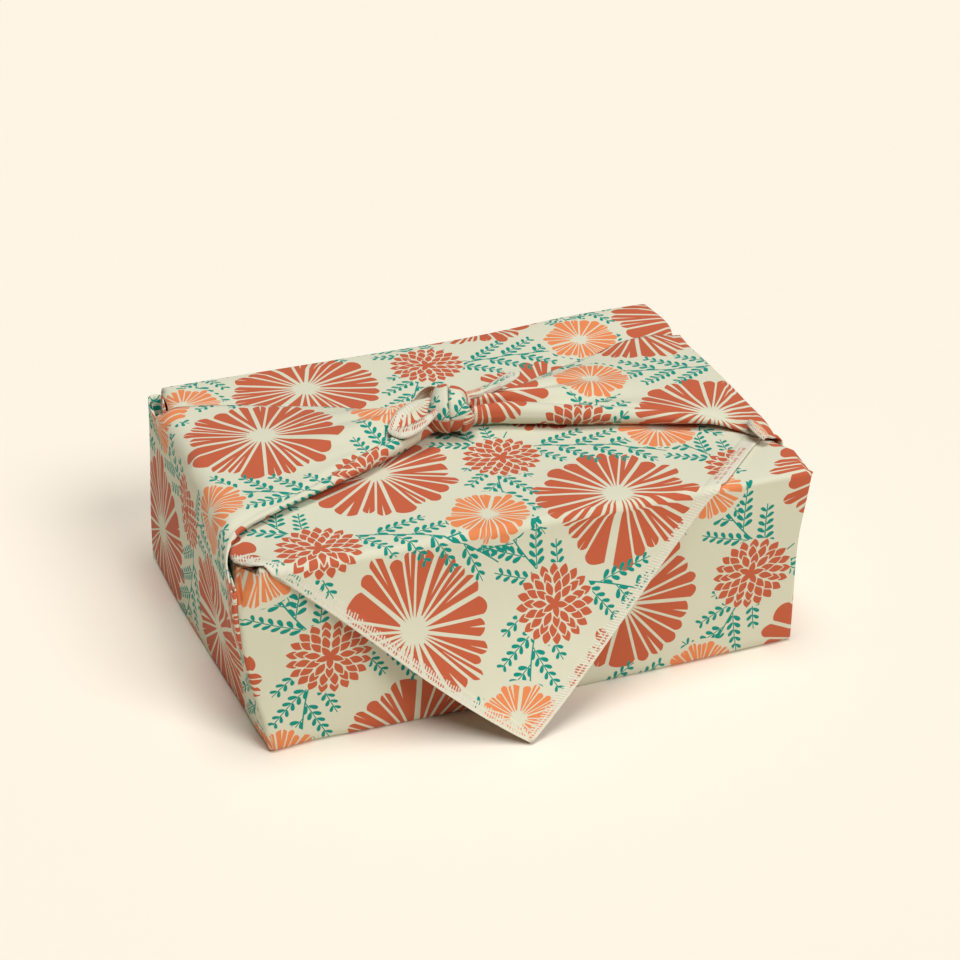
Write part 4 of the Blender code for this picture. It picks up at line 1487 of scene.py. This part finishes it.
build_leafy_stem()
print("Leafy stem takes", len(bpy.data.node_groups["Leafy stem"].nodes), "nodes")

# %% [markdown]
# The sprig bends: a parabola is taken off the height above its middle line before anything is drawn. Its
# branches stand on it as the leaves stand on a branch, and get shorter towards the tip.

# %% A sprig of leafy branches
BRANCH_SLANT = math.radians(36)
BRANCH_PITCH = 0.0170
BRANCH_REACH = (-0.014, 0.030)  # change in length from the sprig's foot to its tip, and length at the foot
BRANCHES_FROM = 0.004
BRANCHES_TO = 0.86  # share of the sprig's length
SPRIG_STEM_HALF = 0.00036


def build_sprig():
    w, given, out = new_group("Sprig", {"X": 0.0, "Y": 0.0, "Length": 0.088, "Bend": 3.0, "Leaf": 0.0052},
                              {"Mask": float})
    length = given["Length"]
    along = w.plus(given["X"], w.times(length, 0.5))
    across = w.minus(given["Y"], w.times(w.times(given["X"], given["X"]), given["Bend"]))
    off = w.size(across)
    side = w.above(across, 0.0)
    skewed = w.minus(along, w.times(off, 1 / math.tan(BRANCH_SLANT)))
    number = w.plus(w.over(skewed, BRANCH_PITCH), w.times(side, 0.5))
    foot = w.times(w.math("FLOOR", number), BRANCH_PITCH)
    from_foot = w.times(w.past_middle(number), BRANCH_PITCH)
    beside = w.times(from_foot, math.sin(BRANCH_SLANT))
    up_branch = w.times_plus(from_foot, math.cos(BRANCH_SLANT), w.over(off, math.sin(BRANCH_SLANT)))
    reach = w.times_plus(w.over(foot, length), *BRANCH_REACH)
    branch = w.group("Leafy stem", Along=up_branch, Across=beside, Length=reach, Leaf=given["Leaf"])[0]
    there = w.times(w.above(foot, BRANCHES_FROM), w.below(foot, w.times(length, BRANCHES_TO)))
    stem = w.edge(w.least(w.minus(SPRIG_STEM_HALF, off), along, w.minus(length, along)))
    w.set(out["Mask"], w.math("MAXIMUM", w.times(branch, there), stem))


build_sprig()
print("Sprig takes", len(bpy.data.node_groups["Sprig"].nodes), "nodes")

# %% [markdown]
# ## Laying out the print
# Fabric prints repeat in a half drop: every other column of the design is shifted down by half a repeat,
# so no rows or stripes show. Motifs could be scattered one by one, but a repeat covers any size of cloth.
# One group finds which repeat a place is in, and gives the place beside the motif's own middle, turned
# and shifted by that repeat's random numbers.

# %% Half-drop repeat
REPEAT_P = 0.108
REPEAT_Q = 0.104


def build_repeat():
    w, given, out = new_group(
        "Half-drop repeat",
        {"Flat": (0.0, 0.0, 0.0), "P": 0.0, "Q": 0.0, "Shift": 0.008, "Angle": 0.0, "Turn": 6.28,
         "Seed": 0.0},
        {"X": float, "Y": float, "Random": float})
    p, q, _ = w.split(given["Flat"])
    column_place = w.over(w.minus(p, given["P"]), REPEAT_P)
    column = w.math("FLOOR", w.plus(column_place, 0.5))
    x = w.times(w.minus(column_place, column), REPEAT_P)
    drop = w.times(w.math("FLOORED_MODULO", column, 2.0), 0.5)
    row_place = w.plus(w.over(w.minus(q, given["Q"]), REPEAT_Q), drop)
    row = w.math("FLOOR", w.plus(row_place, 0.5))
    y = w.times(w.minus(row_place, row), REPEAT_Q)
    chance = w.random(column, row, given["Seed"])
    x = w.minus(x, w.times(w.minus(chance[0], 0.5), given["Shift"]))
    y = w.minus(y, w.times(w.minus(chance[1], 0.5), given["Shift"]))
    angle = w.plus(given["Angle"], w.times(w.minus(chance[2], 0.5), given["Turn"]))
    cosine, sine = w.math("COSINE", angle), w.math("SINE", angle)
    w.set(out["X"], w.plus(w.times(x, cosine), w.times(y, sine)))
    w.set(out["Y"], w.minus(w.times(y, cosine), w.times(x, sine)))
    w.set(out["Random"], chance[0])


build_repeat()
print("the print repeats every", REPEAT_P, "by", REPEAT_Q, "m")

# %% [markdown]
# The whole print lays the motifs over one another from the ground up. The two smaller blooms clear a disc
# of ground first, so that no leaf of a sprig shows between their petals.

# %% The whole print
PRINT_START = (0.047, -0.038)
GROUND = (0.697, 0.690, 0.533, 1.0)
TERRACOTTA = (0.546, 0.114, 0.048, 1.0)
ORANGE = (0.800, 0.250, 0.090, 1.0)
TEAL = (0.000, 0.272, 0.210, 1.0)
SMALL_BLOOM_AT = (0.0415, 0.052)
DAHLIA_AT = (-0.0415, 0.052)
SMALL_SHIFT = 0.004
# A row for each sprig: its place in the repeat, its direction, its bend, and the seed of its random turn.
SPRIGS = ((0.000, 0.052, 0.25, 3.0, 4.0), (0.056, 0.020, 1.95, -4.0, 5.0), (-0.056, 0.022, 4.20, 4.0, 6.0))
SPRIG_TURN = 0.4


def build_print():
    w, given, out = new_group("Flower print", {"Flat": (0.0, 0.0, 0.0)}, {"Color": list})
    flat = given["Flat"]

    def placed(p, q, **values):
        return w.group("Half-drop repeat", Flat=flat, P=PRINT_START[0] + p, Q=PRINT_START[1] + q, **values)

    at = placed(0.0, 0.0, Seed=1.0)
    large = w.group("Bloom", X=at["X"], Y=at["Y"], Radius=0.041, Petals=24.0, Gap=0.0015, Heart=0.0042,
                    Seed=at["Random"])
    colour = w.mix(large["Mask"], GROUND, TERRACOTTA)
    for p, q, angle, bend, seed in SPRIGS:
        at = placed(p, q, Angle=angle, Turn=SPRIG_TURN, Seed=seed)
        sprig = w.group("Sprig", X=at["X"], Y=at["Y"], Bend=bend)
        colour = w.mix(sprig["Mask"], colour, TEAL)
    at = placed(*SMALL_BLOOM_AT, Shift=SMALL_SHIFT, Seed=2.0)
    small = w.group("Bloom", X=at["X"], Y=at["Y"], Radius=0.0205, Petals=24.0, Gap=0.0007, Heart=0.0028,
                    Seed=at["Random"])
    colour = w.mix(small["Mask"], w.mix(small["Disc"], colour, GROUND), ORANGE)
    at = placed(*DAHLIA_AT, Shift=SMALL_SHIFT, Seed=3.0)
    dahlia = w.group("Dahlia", X=at["X"], Y=at["Y"], Radius=0.0195, Seed=at["Random"])
    colour = w.mix(dahlia["Mask"], w.mix(dahlia["Disc"], colour, GROUND), TERRACOTTA)
    w.set(out["Color"], colour)


build_print()
print("Flower print takes", len(bpy.data.node_groups["Flower print"].nodes), "nodes")


# %% [markdown]
# ## Weave and overlocked hem
# A plain weave is two sets of ridges at right angles. Ridges from a formula stay sharp at any distance,
# and a tiled texture wouldn't. The hem's threads cross the edge of the cloth, and one run of
# thread further in locks them. Their pattern needs the distance from the edge, which is easy on a square:
# in flat coordinates the edges are straight lines.

# %% Weave group
WEAVE_PITCH = 0.0005
SLUB_SCALE = 900.0  # fine unevenness of the threads
TONE_SCALE = 14.0  # broad change of tone
TONE = (0.10, 0.95)  # the change, and the tone it is added to


def build_weave():
    w, given, out = new_group("Plain weave", {"Flat": (0.0, 0.0, 0.0), "Pitch": WEAVE_PITCH},
                              {"Height": float, "Tone": float})
    p, q, _ = w.split(given["Flat"])
    ridges = []
    for run in (w.plus(p, q), w.minus(p, q)):
        phase = w.times(w.over(run, given["Pitch"]), math.sqrt(2) * math.pi)
        ridges.append(w.size(w.math("SINE", phase)))
    slub = w.noise(given["Flat"], SLUB_SCALE, 3.0)
    w.set(out["Height"], w.plus(w.math("MAXIMUM", *ridges), slub))
    w.set(out["Tone"], w.times_plus(w.noise(given["Flat"], TONE_SCALE, 4.0), *TONE))


build_weave()
print("Plain weave takes", len(bpy.data.node_groups["Plain weave"].nodes), "nodes")

# %% [markdown]
# The hem is drawn and not modelled, since its threads are thinner than the mesh is fine. Each thread has
# its own width and length, near the edge they close up into a full line, and small flecks of the cloth
# show through.

# %% Hem group
HEM_BAND = 0.0065
THREAD_PITCH = 0.0015
THREAD_SLANT = 0.35
THREAD_HALF = (0.10, 0.20)  # half a thread's width, in threads: random part and least
UNEVEN_ENDS = 0.0014
SOLID_BAND = (0.0008, 0.0012)  # nearer the edge than this, threads lie side by side: random part and least
LOCKED_AT = 0.0033  # a run of thread locks the stitches here
LOCK_HALF = 0.0004
THREAD_EDGE = 0.0003
FLECK_SCALE = 1400.0
FLECKS_OVER = 0.63
FLECK_DARKER = 0.35
BAND_EDGE = 0.0006
THREAD_RELIEF = 1.6


def build_hem():
    w, given, out = new_group("Overlocked hem", {"Flat": (0.0, 0.0, 0.0)},
                              {"Threads": float, "Height": float})
    p, q, _ = w.split(given["Flat"])
    p = w.minus(p, CLOTH_CENTRE[0])
    q = w.minus(q, CLOTH_CENTRE[1])
    reach = w.plus(w.size(p), w.size(q))
    inset = w.over(w.minus(HALF_DIAGONAL, reach), math.sqrt(2))
    product = w.math("SIGN", w.times(p, q))
    along = w.over(w.minus(p, w.times(product, q)), math.sqrt(2))
    number = w.over(w.plus(along, w.times(inset, THREAD_SLANT)), THREAD_PITCH)
    chance = w.random(w.math("FLOOR", number), product, 0.0)
    off = w.size(w.past_middle(number))
    wide = w.times_plus(chance[0], *THREAD_HALF)
    ends = w.times_plus(chance[1], UNEVEN_ENDS, HEM_BAND - UNEVEN_ENDS)
    solid = w.minus(w.times_plus(chance[2], *SOLID_BAND), inset)
    bar = w.least(w.times(w.minus(wide, off), THREAD_PITCH), w.minus(ends, inset))
    locked = w.minus(LOCK_HALF, w.size(w.minus(inset, LOCKED_AT)))
    covered = w.edge(w.math("MAXIMUM", w.math("MAXIMUM", bar, locked), solid), THREAD_EDGE)
    fleck = w.above(w.noise(given["Flat"], FLECK_SCALE, 1.0), FLECKS_OVER)
    w.set(out["Threads"], w.times(covered, w.times_plus(fleck, -FLECK_DARKER, 1.0)))
    band = w.edge(w.minus(HEM_BAND, inset), BAND_EDGE)
    ridge = w.minus(0.5, off)
    w.set(out["Height"], w.plus(band, w.times(w.times(covered, ridge), THREAD_RELIEF)))


build_hem()
print("threads cross the hem every", THREAD_PITCH, "m, in a band of", HEM_BAND, "m")

# %% [markdown]
# ## The printed cotton
# Cotton is matt with a faint sheen of fibres, so the Principled shader is rough and little specular. The
# material reads the flat UV map once and hands it to the groups. The print gives the colour, cream
# threads cover it along the hem, and the weave and the threads give the bump. The threads could be real
# geometry, but they are too fine for that to show.

# %% Cotton material
THREAD = (0.760, 0.730, 0.600, 1.0)
COTTON_ROUGHNESS = 0.85
COTTON_SHEEN = 0.08
COTTON_SPECULAR = 0.25
HEM_RELIEF = 0.5
WEAVE_RELIEF = 0.08


def new_material(name, roughness):
    material = bpy.data.materials.new(name)
    material.use_nodes = True
    shader = material.node_tree.nodes["Principled BSDF"]
    shader.inputs["Roughness"].default_value = roughness
    return material, Wiring(material.node_tree), shader


def add_bump(w, shader, height, strength, distance):
    bump = w.tree.nodes.new("ShaderNodeBump")
    bump.inputs["Strength"].default_value = strength
    bump.inputs["Distance"].default_value = distance
    w.set(bump.inputs["Height"], height)
    w.set(shader.inputs["Normal"], bump.outputs["Normal"])


def make_cotton():
    material, w, shader = new_material("printed_cotton", COTTON_ROUGHNESS)
    flat = w.tree.nodes.new("ShaderNodeUVMap")
    flat.uv_map = FLAT_MAP
    place = flat.outputs["UV"]
    weave = w.group("Plain weave", Flat=place)
    hem = w.group("Overlocked hem", Flat=place)
    colour = w.mix(hem["Threads"], w.group("Flower print", Flat=place)["Color"], THREAD)
    shaded = w.tree.nodes.new("ShaderNodeVectorMath")
    shaded.operation = "SCALE"
    w.set(shaded.inputs[0], colour)
    w.set(shaded.inputs["Scale"], weave["Tone"])
    w.set(shader.inputs["Base Color"], shaded.outputs[0])
    height = w.times_plus(hem["Height"], HEM_RELIEF, w.times(weave["Height"], WEAVE_RELIEF))
    add_bump(w, shader, height, strength=0.7, distance=0.0006)
    shader.inputs["Sheen Weight"].default_value = COTTON_SHEEN
    shader.inputs["Specular IOR Level"].default_value = COTTON_SPECULAR
    return material


cotton = make_cotton()
for piece in [cloth] + knot_pieces:
    piece.data.materials.append(cotton)
print("the cotton's material has", len(cotton.node_tree.nodes), "nodes of its own")


# %% [markdown]
# ## The carton
# The carton is hidden inside the cloth and could be left plain. It still gets a board finish, brown with
# a faint fibre, because the solid model's own carton is kept and may be looked at without the cloth.

# %% Board material
BOARD_DARK = (0.40, 0.26, 0.14, 1.0)
BOARD_LIGHT = (0.56, 0.40, 0.24, 1.0)
BOARD_ROUGHNESS = 0.85
FIBRE_SCALE = 350.0


def make_board():
    material, w, shader = new_material("carton_board", BOARD_ROUGHNESS)
    coordinates = w.tree.nodes.new("ShaderNodeTexCoord").outputs["Object"]
    fibre = w.noise(coordinates, FIBRE_SCALE, 5.0)
    w.set(shader.inputs["Base Color"], w.mix(fibre, BOARD_DARK, BOARD_LIGHT))
    add_bump(w, shader, fibre, strength=0.3, distance=0.0003)
    return material


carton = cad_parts["carton"]
for slot in carton.material_slots:
    slot.material = make_board()

# %% [markdown]
# ## Floor, light and camera
# The floor is a wide sheet of pale paper that fills the view. Two broad suns light it: the key comes from
# the front and the right, and an overhead one softens the shade under the folds. A faint world lights
# what neither reaches. Suns are used because their light is even over the whole floor.

# %% Floor
FLOOR_HALF = 6.0
PAPER_DARK = (0.935, 0.861, 0.751, 1.0)
PAPER_LIGHT = (0.945, 0.871, 0.761, 1.0)
PAPER_ROUGHNESS = 0.95
PAPER_SCALE = 60.0


def make_floor():
    mesh = bmesh.new()
    bmesh.ops.create_grid(mesh, x_segments=8, y_segments=8, size=FLOOR_HALF)
    data = bpy.data.meshes.new("studio_floor")
    mesh.to_mesh(data)
    mesh.free()
    floor = add_to_scene("studio_floor", data)
    material, w, shader = new_material("studio_paper", PAPER_ROUGHNESS)
    coordinates = w.tree.nodes.new("ShaderNodeTexCoord").outputs["Object"]
    tone = w.noise(coordinates, PAPER_SCALE, 3.0)
    w.set(shader.inputs["Base Color"], w.mix(tone, PAPER_DARK, PAPER_LIGHT))
    shader.inputs["Specular IOR Level"].default_value = 0.0
    data.materials.append(material)
    return floor


floor = make_floor()
print("the floor is", round(floor.dimensions.x, 2), "m wide")


# %% [markdown]
# The suns' angles set how soft the shadows are: a wide angle, as here, stands for a large lamp close by.

# %% Lamps and world
LAMP_COLOUR = (1.0, 0.99, 0.97)
WORLD_STRENGTH = 0.09
SUNS = (
    # name, towards the sun, angle across it in degrees, strength
    ("key", (0.30, -0.66, 0.72), 26, 1.55),
    ("overhead", (0.00, -0.03, 1.0), 34, 1.96),
)


def add_turned(name, data, towards, axis):
    """An object with its own axis turned towards a direction."""
    thing = bpy.data.objects.new(name, data)
    thing.rotation_mode = "QUATERNION"
    thing.rotation_quaternion = Vector(towards).to_track_quat(axis, "Y")
    bpy.context.scene.collection.objects.link(thing)
    return thing


for name, towards, across, strength in SUNS:
    sun = bpy.data.lights.new(name, "SUN")
    sun.angle = math.radians(across)
    sun.energy = strength
    sun.color = LAMP_COLOUR
    add_turned(name, sun, towards, "Z")
world = bpy.data.worlds.new("studio")
bpy.context.scene.world = world
world.use_nodes = True
background = world.node_tree.nodes["Background"]
background.inputs["Color"].default_value = (*LAMP_COLOUR, 1.0)
background.inputs["Strength"].default_value = WORLD_STRENGTH
bpy.context.scene.view_settings.view_transform = "Standard"
print("suns:", [name for name, *_ in SUNS])

# %% [markdown]
# The camera looks down on the parcel from the front and a little to the left. Its long lens keeps the
# parcel's edges nearly parallel. Where it aims is given as a place, and to_track_quat turns it there.

# %% Camera
CAMERA_AT = Vector((-0.3525, -0.9834, 0.6612))
CAMERA_AIM = Vector((0.0094, 0.0054, 0.0639))
SENSOR_WIDTH = 36.0  # in millimetres, with the lens
LENS = 89.29
camera_data = bpy.data.cameras.new("camera")
camera_data.sensor_width = SENSOR_WIDTH
camera_data.lens = LENS
camera = add_turned("camera", camera_data, CAMERA_AIM - CAMERA_AT, "-Z")
camera.location = CAMERA_AT
bpy.context.scene.camera = camera
print("the camera is", round((CAMERA_AIM - CAMERA_AT).length, 3), "m from what it is aimed at")

# %% [markdown]
# ## What rides on what
# Every piece is tied to the model's body, and the solid model's own cloth is hidden.

# %% Bind the pieces to the model
for piece in [cloth] + knot_pieces:
    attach(piece, "root")
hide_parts("furoshiki_cloth")
